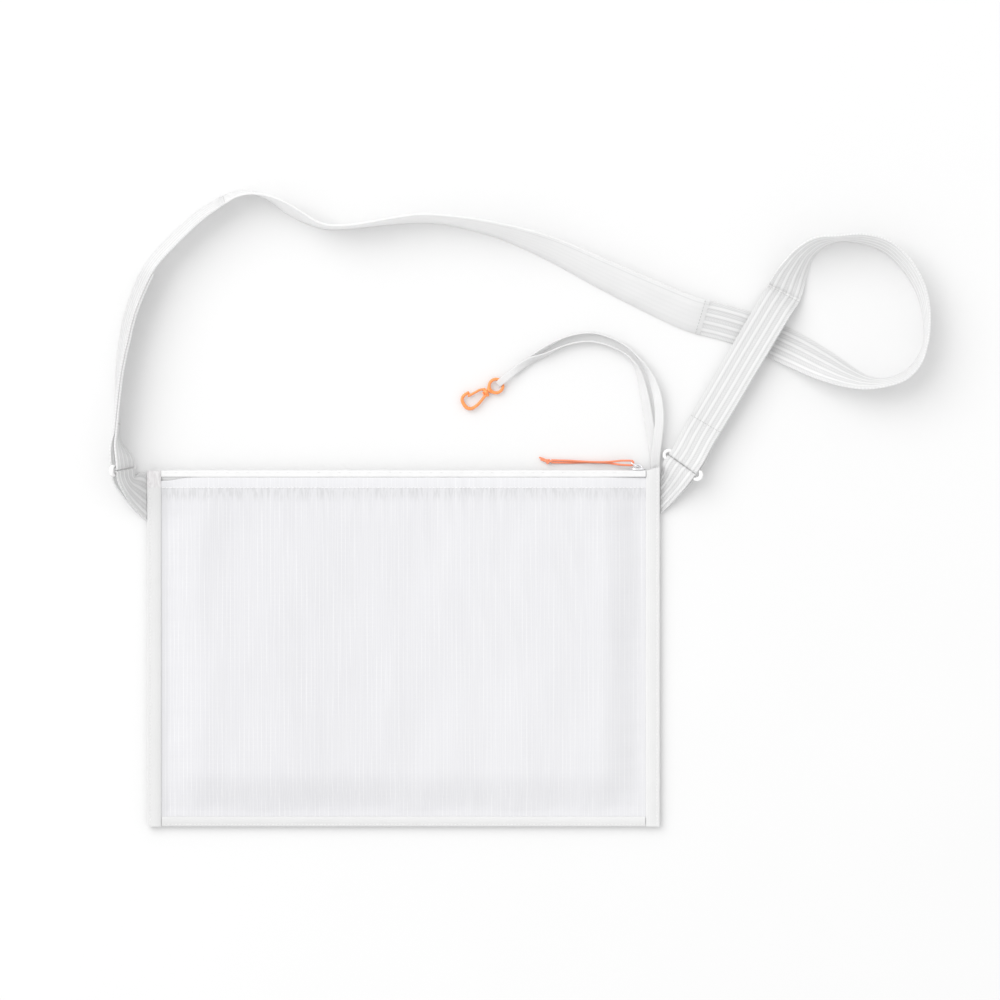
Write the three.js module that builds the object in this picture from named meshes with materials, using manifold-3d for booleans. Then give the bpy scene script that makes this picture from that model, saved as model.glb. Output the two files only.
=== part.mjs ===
// Cycling musette bag lying flat: a thin zipped pouch, a ribbed shoulder strap and a hook lanyard.
// Millimetres, +Z up. The origin is the middle of the pouch's back face, on the surface it lies on.
// +X runs to the wearer's right of the lying bag and +Y runs from the bottom hem to the zip.

import * as THREE from 'three';
import { mergeVertices } from 'three/addons/utils/BufferGeometryUtils.js';
import Module from 'manifold-3d';

// Driving dimensions

// Air left between two pieces that touch on the real bag
const GAP = 0.3;

const BAG = { width: 360, height: 250, cloth: 1.0, fullness: 9.0 };

// Folded tape round the side edges and the bottom edge
const BINDING = { width: 10, cloth: 1.0, cornerRise: 3.5, cornerRun: 42 };
const HEM = { width: 7 };

// The cloth runs up from its flat rim to its full height over this distance
const RIM = { run: 32, liftRun: 6 };

const ZIP = { tapeDepth: 17, foldBack: 5.2, tape: 1.0, coilTall: 4.2, coilDeep: 1.8, middle: 5.4 };

const SLIDER = {
  length: 9.6, tall: 8.0, innerTall: 1.4, plate: 1.1, offCorner: 15.5, post: 1.4,
  crownLength: 7.0, crownOut: 3.0, crownWide: 2.2, crownBar: 1.2,
};

const LINK = { reach: 5.7, halfTall: 1.9, wire: 1.0, swing: 32 };

const PULL = { cord: 1.4, length: 58.5, knot: 4.0, knotOff: 1.2, tail: 5.5, tailThick: 2.1, sides: 8 };

const STRAP = { width: 25, thick: 1.5, rise: 195.7, sewn: 114, loop: 26 };

const RING = { wire: 2.2, length: 34, barSpacing: 6.2, sides: 8, endSteps: 6 };

// Where each ring lies: out, up and high from the pouch's top corner in strap widths, heading of
// its bars seen from above and the tilt of that line, in degrees
const RIGHT_RING = { out: 0.636, up: 0.152, high: 0.32, heading: -36, tilt: 20 };
const LEFT_RING = { out: -0.655, up: 0.04, high: 0.64, heading: 14.3, tilt: -64 };

// Half the opening of the strap's end loop where it goes round each ring
const LOOP = { rightRadius: 2.15, leftRadius: 2.4 };

const LANYARD = {
  width: 6.5, thick: 1.0, reachLeft: 108, rise: 97.4, rootInset: 3.4, heading: 40,
  eyeWidth: 4.8, gatherRun: 26,
};

const HOOK = {
  bar: 2.3, gateBar: 1.7, length: 18.9, wide: 10.7, eyeRadius: 4.8, eyeWire: 2.2, neckToEye: 7.0,
  neckLength: 2.6, neckWide: 4.6, peg: 1.6, pegHead: 2.6, headLong: 0.9, heading: 211.8, sides: 8,
};

// Colours and finishes

const cloth = new THREE.MeshStandardMaterial({ color: 0xe9e9ee, roughness: 0.7, metalness: 0 });
const tape = new THREE.MeshStandardMaterial({ color: 0xf6f6f6, roughness: 0.85, metalness: 0 });
const zipWhite = new THREE.MeshStandardMaterial({ color: 0xfbfbfb, roughness: 0.5, metalness: 0 });
const webbing = new THREE.MeshStandardMaterial({ color: 0xf0f0ef, roughness: 0.9, metalness: 0 });
const chrome = new THREE.MeshStandardMaterial({ color: 0xc9ccd0, roughness: 0.2, metalness: 1 });
const whitePlastic = new THREE.MeshStandardMaterial({ color: 0xf7f7f7, roughness: 0.3, metalness: 0 });
const orangePlastic = new THREE.MeshStandardMaterial({ color: 0xf58a2e, roughness: 0.35, metalness: 0 });
const coralCord = new THREE.MeshStandardMaterial({ color: 0xf0643c, roughness: 0.8, metalness: 0 });

const wasm = await Module();
wasm.setup();

const bag = new THREE.Group();
const UP = new THREE.Vector3(0, 0, 1);

// Places worked out from the driving dimensions

const halfWidth = BAG.width / 2;
const topEdge = BAG.height / 2;
const bottomEdge = -BAG.height / 2;

// The four layers at a bound edge, from the surface up: tape, back cloth, front cloth, tape
const backRimLow = BINDING.cloth + GAP;
const frontRimLow = backRimLow + BAG.cloth + GAP;
const frontRimTop = frontRimLow + BAG.cloth;
const boundTop = frontRimTop + GAP + BINDING.cloth;

// Small helpers for numbers and vectors

function vec(x, y, z = 0) {
  return new THREE.Vector3(x, y, z);
}

function mix(a, b, share) {
  return a + (b - a) * share;
}

function ease(value) {
  const t = Math.min(Math.max(value, 0), 1);
  return t * t * (3 - 2 * t);
}

function radians(degrees) {
  return degrees * Math.PI / 180;
}

// Adds a finished piece to the bag under its own name
function add(name, geometry, material) {
  geometry.deleteAttribute('normal');
  geometry.deleteAttribute('uv');
  const mesh = new THREE.Mesh(mergeVertices(geometry, 1e-4), material);
  mesh.name = name;
  bag.add(mesh);
  return mesh;
}

// Turns a closed geometry into a solid for cutting and joining
function toSolid(geometry) {
  const copy = geometry.clone();
  copy.deleteAttribute('normal');
  copy.deleteAttribute('uv');
  const merged = mergeVertices(copy, 1e-4);
  const vertProperties = new Float32Array(merged.attributes.position.array);
  const triVerts = new Uint32Array(merged.index.array);
  return new wasm.Manifold(new wasm.Mesh({ numProp: 3, vertProperties, triVerts }));
}

function fromSolid(solid) {
  const mesh = solid.simplify(GAP / 20).getMesh();
  const geometry = new THREE.BufferGeometry();
  geometry.setAttribute('position', new THREE.BufferAttribute(new Float32Array(mesh.vertProperties), 3));
  geometry.setIndex(new THREE.BufferAttribute(new Uint32Array(mesh.triVerts), 1));
  return geometry;
}

function joined(geometries) {
  return geometries.map(toSolid).reduce((sum, solid) => sum.add(solid));
}

// A box between two opposite corners
function block(low, high) {
  const size = high.clone().sub(low);
  const middle = low.clone().add(high).multiplyScalar(0.5);
  return new THREE.BoxGeometry(size.x, size.y, size.z).translate(middle.x, middle.y, middle.z);
}

// Triangles that close the end of a ring of points: a fan for a convex one
function fan(count) {
  const triangles = [];
  for (let j = 1; j < count - 1; j++) {
    triangles.push([0, j, j + 1]);
  }
  return triangles;
}

// The same for the eight corners of a U
const U_END = [[0, 1, 6], [0, 6, 7], [1, 2, 5], [1, 5, 6], [2, 3, 4], [2, 4, 5]];

// A closed skin over rings of points; without end triangles the last ring meets the first
function skin(rings, ends) {
  const count = rings[0].length;
  const points = rings.flat();
  const index = [];
  const last = ends ? rings.length - 1 : rings.length;
  for (let i = 0; i < last; i++) {
    const here = i * count;
    const next = ((i + 1) % rings.length) * count;
    for (let j = 0; j < count; j++) {
      const k = (j + 1) % count;
      index.push(here + j, here + k, next + k);
      index.push(here + j, next + k, next + j);
    }
  }
  if (ends) {
    const end = (rings.length - 1) * count;
    for (const [a, b, c] of ends) {
      index.push(a, c, b);
      index.push(end + a, end + b, end + c);
    }
  }
  const geometry = new THREE.BufferGeometry().setFromPoints(points);
  geometry.setIndex(index);
  return geometry;
}

// A sheet with a wall: lower(u, v) and upper(u, v) give its two faces at each pair of shares
function sheet(columns, rows, lower, upper) {
  const points = [];
  for (const face of [lower, upper]) {
    for (const v of rows) {
      for (const u of columns) {
        points.push(face(u, v));
      }
    }
  }
  const wide = columns.length;
  const layer = wide * rows.length;
  const index = [];
  const quad = (a, b, c, d) => index.push(a, b, c, a, c, d);
  for (let j = 0; j < rows.length - 1; j++) {
    for (let i = 0; i < wide - 1; i++) {
      const a = j * wide + i;
      quad(a, a + wide, a + wide + 1, a + 1);
      quad(layer + a, layer + a + 1, layer + a + wide + 1, layer + a + wide);
    }
  }
  const topRow = (rows.length - 1) * wide;
  for (let i = 0; i < wide - 1; i++) {
    quad(i, i + 1, layer + i + 1, layer + i);
    quad(topRow + i + 1, topRow + i, layer + topRow + i, layer + topRow + i + 1);
  }
  for (let j = 0; j < rows.length - 1; j++) {
    const left = j * wide;
    const right = left + wide - 1;
    quad(left + wide, left, layer + left, layer + left + wide);
    quad(right, right + wide, layer + right + wide, layer + right);
  }
  const geometry = new THREE.BufferGeometry().setFromPoints(points);
  geometry.setIndex(index);
  return geometry;
}

// Flat bands: strap, tabs and lanyard

// How high the middle of a tilted band lies when its lower edge rests on the surface
function lyingHeight(size, tilt) {
  return size.width / 2 * Math.abs(Math.sin(tilt)) + size.thick / 2 * Math.abs(Math.cos(tilt));
}

// Reads a route table into a smooth run of stations with place, width direction and station number
function readRoute(rows, size, place, perRow = 4) {
  const flat = rows.map((row) => place(row));
  const line = new THREE.CatmullRomCurve3(flat, false, 'centripetal');
  const turn = new THREE.CatmullRomCurve3(rows.map((row) => vec(row.tilt, row.lift, 0)));
  const steps = (rows.length - 1) * perRow;
  const stations = [];
  for (let i = 0; i <= steps; i++) {
    const share = i / steps;
    const centre = line.getPoint(share);
    const values = turn.getPoint(share);
    const tilt = radians(values.x);
    centre.z = lyingHeight(size, tilt) + values.y * size.thick + GAP / 2;
    const heading = line.getTangent(share).setZ(0).normalize();
    const side = vec(-heading.y, heading.x);
    const across = side.multiplyScalar(Math.cos(tilt)).addScaledVector(UP, Math.sin(tilt));
    stations.push({ centre, across });
  }
  return stations;
}

// Distance travelled along a run of stations
function travelled(stations) {
  let sum = 0;
  return stations.map((station, i) => {
    sum += i ? station.centre.distanceTo(stations[i - 1].centre) : 0;
    return sum;
  });
}

// The way a run of stations heads at one station
function headingAt(stations, i) {
  const before = stations[Math.max(i - 1, 0)].centre;
  const after = stations[Math.min(i + 1, stations.length - 1)].centre;
  return after.clone().sub(before).normalize();
}

// The width vector of a band at one station: square to its line unless the station is slanted
function acrossAt(stations, i, size) {
  const { across, slanted } = stations[i];
  if (slanted) {
    return across.clone();
  }
  const heading = headingAt(stations, i);
  const square = across.clone().addScaledVector(heading, -across.dot(heading));
  return square.setLength(stations[i].width ?? size.width);
}

// A band with a flat section swept through its stations
function band(stations, size) {
  const rings = stations.map((station, i) => {
    const across = acrossAt(stations, i, size);
    const thickWay = headingAt(stations, i).cross(across).normalize();
    const corner = (w, t) => station.centre.clone()
      .addScaledVector(across, w / 2)
      .addScaledVector(thickWay, t * size.thick / 2);
    return [corner(-1, -1), corner(1, -1), corner(1, 1), corner(-1, 1)];
  });
  return skin(rings, fan(4));
}

// A strap end: the band comes in on top, turns round a bar and goes out again underneath.
// middle holds the stations of the line between the two layers, from the bar outwards.
function loopedBand(middle, size, bar, sewnEnd, loopEnd, radius, fade) {
  const apart = (size.thick + GAP) / 2;
  const distance = travelled(middle);
  const start = Math.max(radius - bar.wire / 2 - GAP - size.thick / 2, 0);
  const spread = (s) => mix(radius, apart, ease((s - start) / (loopEnd - start)));
  const layer = (i, side) => {
    const across = acrossAt(middle, i, size);
    const away = headingAt(middle, i).cross(across).normalize();
    const gone = ease((distance[i] - sewnEnd) / fade);
    const offset = side * spread(distance[i]) * (1 - (side < 0 ? gone : 0));
    return { centre: middle[i].centre.clone().addScaledVector(away, offset), across, slanted: true };
  };
  const upper = [];
  const lower = [];
  middle.forEach((station, i) => {
    if (distance[i] <= start + 0.4) {
      return;
    }
    if (distance[i] <= sewnEnd) {
      upper.unshift(layer(i, 1));
    }
    lower.push(layer(i, -1));
  });
  const turn = [];
  const pivot = middle[0].centre.clone().addScaledVector(bar.away, start);
  const turnSteps = 8;
  for (let i = 0; i <= turnSteps; i++) {
    const angle = Math.PI * i / turnSteps;
    const centre = pivot.clone()
      .addScaledVector(bar.normal, radius * Math.cos(angle))
      .addScaledVector(bar.away, -radius * Math.sin(angle));
    turn.push({ centre, across: bar.across.clone().setLength(size.width), slanted: true });
  }
  return band([...upper, ...turn, ...lower], size);
}

// Rods of round section

function roundSection(diameter, sides) {
  const shape = new THREE.Shape();
  for (let i = 0; i < sides; i++) {
    const angle = 2 * Math.PI * i / sides;
    const x = diameter / 2 * Math.cos(angle);
    const y = diameter / 2 * Math.sin(angle);
    if (i === 0) {
      shape.moveTo(x, y);
    } else {
      shape.lineTo(x, y);
    }
  }
  shape.closePath();
  return shape;
}

function rod(points, diameter, sides, steps) {
  const path = new THREE.CatmullRomCurve3(points, false, 'centripetal');
  return new THREE.ExtrudeGeometry(roundSection(diameter, sides), { extrudePath: path, steps });
}

// Pouch

// Height of the rim's extra opening towards the zip corners
function cornerLift(y) {
  return BINDING.cornerRise * ease((y - (topEdge - BINDING.cornerRun)) / BINDING.cornerRun);
}

// Soft folds in the front cloth: middle and half widths as shares of half the bag, rise of full height
const FRONT_FOLDS = [
  { across: -0.72, up: 0.35, wide: 0.10, tall: 0.70, lean: -18, rise: -0.11 },
  { across: -0.45, up: -0.20, wide: 0.09, tall: 0.85, lean: 12, rise: 0.10 },
  { across: -0.16, up: 0.45, wide: 0.12, tall: 0.50, lean: 24, rise: -0.10 },
  { across: 0.10, up: -0.35, wide: 0.10, tall: 0.60, lean: -14, rise: -0.08 },
  { across: 0.38, up: 0.25, wide: 0.11, tall: 0.75, lean: 16, rise: 0.10 },
  { across: 0.66, up: -0.10, wide: 0.10, tall: 0.80, lean: -10, rise: -0.10 },
];

function foldRise(x, y) {
  let sum = 0;
  for (const fold of FRONT_FOLDS) {
    const dx = x - fold.across * halfWidth;
    const dy = y - fold.up * topEdge;
    const lean = radians(fold.lean);
    const acrossFold = (dx * Math.cos(lean) + dy * Math.sin(lean)) / (fold.wide * halfWidth);
    const alongFold = (dy * Math.cos(lean) - dx * Math.sin(lean)) / (fold.tall * topEdge);
    sum += fold.rise * BAG.fullness * Math.exp(-(acrossFold ** 2) - alongFold ** 2);
  }
  return sum;
}

// Top of the front cloth
function frontTop(x, y) {
  const fromSide = halfWidth - Math.abs(x);
  const fromBottom = y - bottomEdge;
  const sideRise = ease((fromSide - BINDING.width) / RIM.run);
  const bottomRise = ease((fromBottom - HEM.width) / RIM.run);
  const fold = foldRise(x, y) * ease((topEdge - ZIP.tapeDepth - y) / RIM.run);
  const rim = frontRimTop + cornerLift(y);
  return mix(rim, BAG.fullness + fold, sideRise * bottomRise);
}

// Underside of the back cloth: flat on the surface, lifted at its bound edges to let the tape under
function backLow(x, y) {
  const fromSide = halfWidth - Math.abs(x) - BINDING.width - GAP;
  const fromBottom = y - bottomEdge - HEM.width - GAP;
  const inside = ease(Math.min(fromSide, fromBottom) / RIM.liftRun);
  return mix(backRimLow, 0, inside);
}

const clothSide = halfWidth - BINDING.cloth - GAP;
const clothBottom = bottomEdge + BINDING.cloth + GAP;
const frontClothTop = topEdge - ZIP.foldBack;
const backClothTop = topEdge - GAP;

// Shares of the climb from the flat rim where the cloth's mesh has a line
const CLIMB = [0, 0.2, 0.4, 0.6, 0.8, 1];

// Lines across the opening corner, from its start to the zip tape and on to the cloth's fold.
// The front cloth, the bindings and the front tape all follow them.
const cornerRows = [0, 0.35, 0.7, 1].map((share) => topEdge - mix(BINDING.cornerRun, ZIP.tapeDepth, share));
const tapeRows = [1, 0.5, 0].map((share) => topEdge - mix(ZIP.foldBack, ZIP.tapeDepth, share));
const climbX = CLIMB.map((share) => halfWidth - BINDING.width - share * RIM.run);

function evenLines(low, high, count) {
  const lines = [];
  for (let i = 1; i < count; i++) {
    lines.push(mix(low, high, i / count));
  }
  return lines;
}

function frontPanel() {
  const flatReach = climbX.at(-1);
  const columns = [
    -clothSide, ...climbX.map((x) => -x), ...evenLines(-flatReach, flatReach, 15),
    ...climbX.slice().reverse(), clothSide,
  ];
  const climbY = CLIMB.map((share) => bottomEdge + HEM.width + share * RIM.run);
  const middleY = evenLines(climbY.at(-1), cornerRows[0], 7);
  const rows = [clothBottom, ...climbY, ...middleY, ...cornerRows, ...tapeRows.slice(1)];
  const lower = (x, y) => vec(x, y, frontTop(x, y) - BAG.cloth);
  const upper = (x, y) => vec(x, y, frontTop(x, y));
  return sheet(columns, rows, lower, upper);
}

function backPanel() {
  const flatSide = halfWidth - BINDING.width - GAP;
  const flatBottom = bottomEdge + HEM.width + GAP;
  const steps = [0, 0.33, 0.66, 1].map((share) => share * RIM.liftRun);
  const climb = steps.map((d) => flatSide - d);
  const columns = [-clothSide, ...climb.map((x) => -x), ...climb.slice().reverse(), clothSide];
  const rows = [clothBottom, ...steps.map((d) => flatBottom + d), 0, backClothTop];
  const lower = (x, y) => vec(x, y, backLow(x, y));
  const upper = (x, y) => vec(x, y, backLow(x, y) + BAG.cloth);
  return sheet(columns, rows, lower, upper);
}

// Corners of a folded tape's U, from the free edge of its lower layer round to its upper one
function foldedSection(width, top) {
  const inside = BINDING.cloth;
  return [
    [width, 0], [0, 0], [0, top], [width, top],
    [width, top - inside], [inside, top - inside], [inside, inside], [width, inside],
  ];
}

// Folded tape over the cloth's side edge, opening up towards the zip corner
function sideBinding(side) {
  const stops = [bottomEdge, ...cornerRows, ...tapeRows.slice(1), topEdge - GAP];
  const rings = stops.map((y) => {
    const section = foldedSection(BINDING.width, boundTop + cornerLift(y));
    const ring = section.map(([depth, z]) => vec(side * (halfWidth - depth), y, z));
    return side > 0 ? ring.reverse() : ring;
  });
  return skin(rings, U_END);
}

// Folded tape over the cloth's bottom edge, between the side bindings
function bottomHem() {
  const reach = halfWidth - BINDING.width - GAP;
  const rings = [reach, -reach].map((x) => (
    foldedSection(HEM.width, boundTop).map(([depth, z]) => vec(x, bottomEdge + depth, z))
  ));
  return skin(rings, U_END);
}

// Zip along the top edge: its face looks along +Y and its two tapes run back under the cloth

const zipReach = halfWidth - BINDING.width - GAP;
const sliderX = halfWidth - SLIDER.offCorner;
const coilTop = ZIP.middle + ZIP.coilTall / 2;
const coilLow = ZIP.middle - ZIP.coilTall / 2;

function frontTape() {
  const start = topEdge - ZIP.coilDeep / 2;
  const climb = [zipReach, ...climbX.slice(1)];
  const columns = [...climb.map((x) => -x), ...climb.slice().reverse()];
  const behindCoil = topEdge - ZIP.coilDeep - GAP;
  const rows = [...tapeRows, frontClothTop + GAP, behindCoil, start];
  const under = (x, y) => frontTop(x, Math.min(y, frontClothTop)) - BAG.cloth - GAP;
  const top = (x, y) => (y < behindCoil ? under(x, y) : coilTop + GAP + ZIP.tape);
  const upper = (x, y) => vec(x, y, top(x, y));
  const lower = (x, y) => vec(x, y, top(x, y) - ZIP.tape);
  return sheet(columns, rows, lower, upper);
}

function backTape() {
  const reach = zipReach - RIM.liftRun - GAP;
  const low = BAG.cloth + GAP;
  return block(
    vec(-reach, topEdge - ZIP.tapeDepth, low),
    vec(reach, topEdge - ZIP.coilDeep - GAP, low + ZIP.tape),
  );
}

function zipCoil() {
  return block(
    vec(-zipReach, topEdge - ZIP.coilDeep, coilLow),
    vec(sliderX + SLIDER.length / 2 - 2 * SLIDER.post - GAP, topEdge, coilTop),
  );
}

// Slider: a plate on each side of the coil, the post between them and the crown that holds the link
function slider() {
  const left = sliderX - SLIDER.length / 2;
  const right = sliderX + SLIDER.length / 2;
  const face = topEdge + GAP;
  const back = topEdge - ZIP.coilDeep - GAP;
  const outerPlate = block(
    vec(left, face, ZIP.middle - SLIDER.tall / 2),
    vec(right, face + SLIDER.plate, ZIP.middle + SLIDER.tall / 2),
  );
  const innerPlate = block(
    vec(left, back - SLIDER.plate, ZIP.middle - SLIDER.innerTall / 2),
    vec(right, back, ZIP.middle + SLIDER.innerTall / 2),
  );
  const post = block(
    vec(right - 2 * SLIDER.post, back - SLIDER.plate / 2, ZIP.middle - SLIDER.post / 2),
    vec(right - SLIDER.post, face + SLIDER.plate / 2, ZIP.middle + SLIDER.post / 2),
  );
  const crown = new THREE.Shape();
  const base = SLIDER.plate / 2;
  const top = SLIDER.plate + SLIDER.crownOut;
  crown.moveTo(-SLIDER.crownLength / 2, base);
  crown.lineTo(SLIDER.crownLength / 2, base);
  crown.quadraticCurveTo(SLIDER.crownLength / 2, top, 0, top);
  crown.quadraticCurveTo(-SLIDER.crownLength / 2, top, -SLIDER.crownLength / 2, base);
  const eye = new THREE.Path();
  const eyeHalf = SLIDER.crownLength / 2 - SLIDER.crownBar;
  eye.moveTo(-eyeHalf, SLIDER.plate);
  eye.quadraticCurveTo(-eyeHalf, top - SLIDER.crownBar, 0, top - SLIDER.crownBar);
  eye.quadraticCurveTo(eyeHalf, top - SLIDER.crownBar, eyeHalf, SLIDER.plate);
  crown.holes.push(eye);
  const options = { depth: SLIDER.crownWide, bevelEnabled: false, curveSegments: 6 };
  const arch = new THREE.ExtrudeGeometry(crown, options);
  arch.translate(sliderX, face, ZIP.middle - SLIDER.crownWide / 2);
  return fromSolid(joined([outerPlate, innerPlate, post, arch]));
}

// An oval ring of round wire: two straight bars joined by half turns.
// long and wide are unit directions of its plane, reach is half the straight bar.
function ovalRing(centre, long, wide, reach, radius, wire, sides, endSteps) {
  const out = long.clone().cross(wide).normalize();
  const rings = [];
  for (const end of [1, -1]) {
    for (let i = 0; i <= endSteps; i++) {
      const angle = Math.PI * (i / endSteps - 0.5);
      const way = long.clone().multiplyScalar(end * Math.cos(angle))
        .addScaledVector(wide, end * Math.sin(angle));
      const middle = centre.clone().addScaledVector(long, end * reach).addScaledVector(way, radius);
      const ring = [];
      for (let j = 0; j < sides; j++) {
        const turn = 2 * Math.PI * j / sides;
        ring.push(middle.clone()
          .addScaledVector(way, wire / 2 * Math.cos(turn))
          .addScaledVector(out, -wire / 2 * Math.sin(turn)));
      }
      rings.push(ring);
    }
  }
  return skin(rings);
}

// Wire link through the crown; its far bar carries the pull cord
const crownHole = vec(sliderX, topEdge + SLIDER.plate + GAP * 2 + LINK.wire / 2, ZIP.middle);
const linkWay = vec(-Math.cos(radians(LINK.swing)), Math.sin(radians(LINK.swing)));
const linkBar = crownHole.clone().addScaledVector(linkWay, LINK.reach);

function pullLink() {
  const centre = crownHole.clone().add(linkBar).multiplyScalar(0.5);
  const corner = LINK.wire;
  const half = LINK.reach / 2;
  const straight = LINK.halfTall - corner;
  const rings = [];
  const corners = [[1, 1], [-1, 1], [-1, -1], [1, -1]];
  corners.forEach(([sx, sz], k) => {
    for (let i = 0; i <= 3; i++) {
      const angle = Math.PI / 2 * (k + i / 3);
      const way = linkWay.clone().multiplyScalar(Math.cos(angle)).addScaledVector(UP, Math.sin(angle));
      const middle = centre.clone()
        .addScaledVector(linkWay, sx * (half - corner))
        .addScaledVector(UP, sz * straight)
        .addScaledVector(way, corner);
      const out = linkWay.clone().cross(UP);
      const ring = [];
      for (let j = 0; j < PULL.sides; j++) {
        const turn = 2 * Math.PI * j / PULL.sides;
        ring.push(middle.clone()
          .addScaledVector(way, LINK.wire / 2 * Math.cos(turn))
          .addScaledVector(out, -LINK.wire / 2 * Math.sin(turn)));
      }
      rings.push(ring);
    }
  });
  return skin(rings);
}

// Pull cord: two strands from the link's bar down to the surface and along it to the knot.
// along is a share of the pull's length, side and high are in cord diameters from the middle line.
const PULL_ROUTE = [
  { along: 0.05, side: 1.12, high: 0.00, drop: 0.02 },
  { along: 0.14, side: 1.05, high: 0.05, drop: 0.16 },
  { along: 0.23, side: 0.75, high: 0.25, drop: 0.42 },
  { along: 0.34, side: 0.40, high: 0.45, drop: 0.74 },
  { along: 0.46, side: 0.15, high: 0.60, drop: 0.93 },
  { along: 0.60, side: 0.30, high: 0.56, drop: 1.00 },
  { along: 0.74, side: 0.50, high: 0.40, drop: 1.00 },
  { along: 0.87, side: 0.58, high: 0.25, drop: 0.98 },
  { along: 0.955, side: 0.60, high: 0.10, drop: 0.92 },
];
const pullTurn = LINK.wire / 2 + GAP * 1.5 + PULL.cord / 2;
const knotPlace = vec(linkBar.x - PULL.length, linkBar.y + PULL.knotOff, PULL.knot / 2 + GAP / 2);

function strandPoints(side) {
  const rest = PULL.cord * 1.15;
  return PULL_ROUTE.map((row) => vec(
    linkBar.x - row.along * PULL.length,
    mix(linkBar.y, knotPlace.y, row.along) + side * row.side * PULL.cord,
    mix(linkBar.z, rest, row.drop) + side * row.high * PULL.cord,
  ));
}

// The bend of the cord round the link's far bar, on the side of the crown
function bendPoints() {
  const points = [];
  for (let i = 0; i <= 6; i++) {
    const angle = Math.PI * (0.5 - i / 6);
    points.push(linkBar.clone().add(vec(pullTurn * Math.cos(angle), pullTurn * Math.sin(angle))));
  }
  return points;
}

// The upper strand stops short of the link, and the lower one goes on round its bar
function pullCord(side) {
  const points = strandPoints(side);
  if (side > 0) {
    points[0].x -= PULL.cord;
    return rod(points, PULL.cord, PULL.sides, 36);
  }
  return rod([...points.reverse(), ...bendPoints().reverse()], PULL.cord, PULL.sides, 44);
}

function pullKnot() {
  const ball = new THREE.SphereGeometry(PULL.knot / 2, 12, 8);
  ball.translate(knotPlace.x, knotPlace.y, knotPlace.z);
  const tailEnd = knotPlace.clone().add(vec(-PULL.tail, PULL.tail / 3, -PULL.knot / 8));
  const line = [knotPlace, knotPlace.clone().lerp(tailEnd, 0.5), tailEnd];
  const tail = rod(line, PULL.tailThick, PULL.sides, 4);
  return fromSolid(joined([ball, tail]));
}

// Rings that join the strap to the pouch

// A ring's frame: where it lies, the way of its bars and the way from the tab's bar to the strap's
function ringFrame(place, towards) {
  const heading = radians(place.heading);
  const tilt = radians(place.tilt);
  const long = vec(Math.cos(heading), Math.sin(heading)).multiplyScalar(Math.cos(tilt));
  long.addScaledVector(UP, Math.sin(tilt));
  const away = towards.clone().addScaledVector(long, -towards.dot(long)).normalize();
  const centre = vec(place.out, place.up, place.high).multiplyScalar(STRAP.width);
  centre.add(vec(Math.sign(place.out) * halfWidth, topEdge));
  return { centre, long, away };
}

const rightRing = ringFrame(RIGHT_RING, vec(0.588, 0.809));
const leftRing = ringFrame(LEFT_RING, vec(0, 1));

function strapRing(frame) {
  const radius = RING.barSpacing / 2;
  const reach = RING.length / 2 - radius - RING.wire / 2;
  return ovalRing(frame.centre, frame.long, frame.away, reach, radius, RING.wire, RING.sides, RING.endSteps);
}

// The bar of a ring that a band turns round; way is 1 for the strap's bar and -1 for the tab's
function barOf(frame, way) {
  const away = frame.away.clone().multiplyScalar(way);
  const across = frame.long.clone().multiplyScalar(-way);
  const normal = away.clone().cross(across);
  const centre = frame.centre.clone().addScaledVector(frame.away, way * RING.barSpacing / 2);
  return { centre, away, across, normal, wire: RING.wire };
}

// Strap routes seen from above: across is a share of half the pouch's width, up a share of the
// strap's rise above the zip. tilt turns the band about its line, positive with its left edge up,
// and lift holds it off the surface, in band thicknesses. Each starts at its ring.
const RIGHT_ROUTE = [
  { across: 1.161, up: 0.138, tilt: -20, lift: 1.7 },
  { across: 1.243, up: 0.264, tilt: -18, lift: 2.1 },
  { across: 1.325, up: 0.393, tilt: -16, lift: 2.4 },
  { across: 1.399, up: 0.508, tilt: -14, lift: 2.7 },
  { across: 1.450, up: 0.587, tilt: -11, lift: 2.5 },
  { across: 1.483, up: 0.641, tilt: -6, lift: 2.2 },
  { across: 1.509, up: 0.709, tilt: 14, lift: 1.0 },
  { across: 1.548, up: 0.770, tilt: 42, lift: 0.2 },
  { across: 1.610, up: 0.811, tilt: 68, lift: 0.0 },
  { across: 1.696, up: 0.831, tilt: 84, lift: 0.0 },
  { across: 1.790, up: 0.829, tilt: 78, lift: 0.0 },
  { across: 1.880, up: 0.802, tilt: 74, lift: 0.0 },
  { across: 1.950, up: 0.745, tilt: 74, lift: 0.0 },
  { across: 2.005, up: 0.666, tilt: 78, lift: 0.0 },
  { across: 2.030, up: 0.594, tilt: 82, lift: 0.0 },
  { across: 2.038, up: 0.522, tilt: 86, lift: 0.0 },
  { across: 2.032, up: 0.450, tilt: 89, lift: 0.0 },
  { across: 2.001, up: 0.382, tilt: 84, lift: 0.0 },
  { across: 1.946, up: 0.335, tilt: 80, lift: 0.0 },
  { across: 1.876, up: 0.314, tilt: 78, lift: 0.0 },
  { across: 1.802, up: 0.314, tilt: 68, lift: 0.0 },
  { across: 1.728, up: 0.335, tilt: 52, lift: 0.0 },
  { across: 1.638, up: 0.375, tilt: 30, lift: 0.0 },
  { across: 1.536, up: 0.425, tilt: 11, lift: 0.0 },
  { across: 1.438, up: 0.468, tilt: 2, lift: 0.0 },
  { across: 1.333, up: 0.508, tilt: -3, lift: 0.0 },
  { across: 1.243, up: 0.533, tilt: -8, lift: 0.0 },
  { across: 1.169, up: 0.549, tilt: -13, lift: 0.0 },
];
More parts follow.
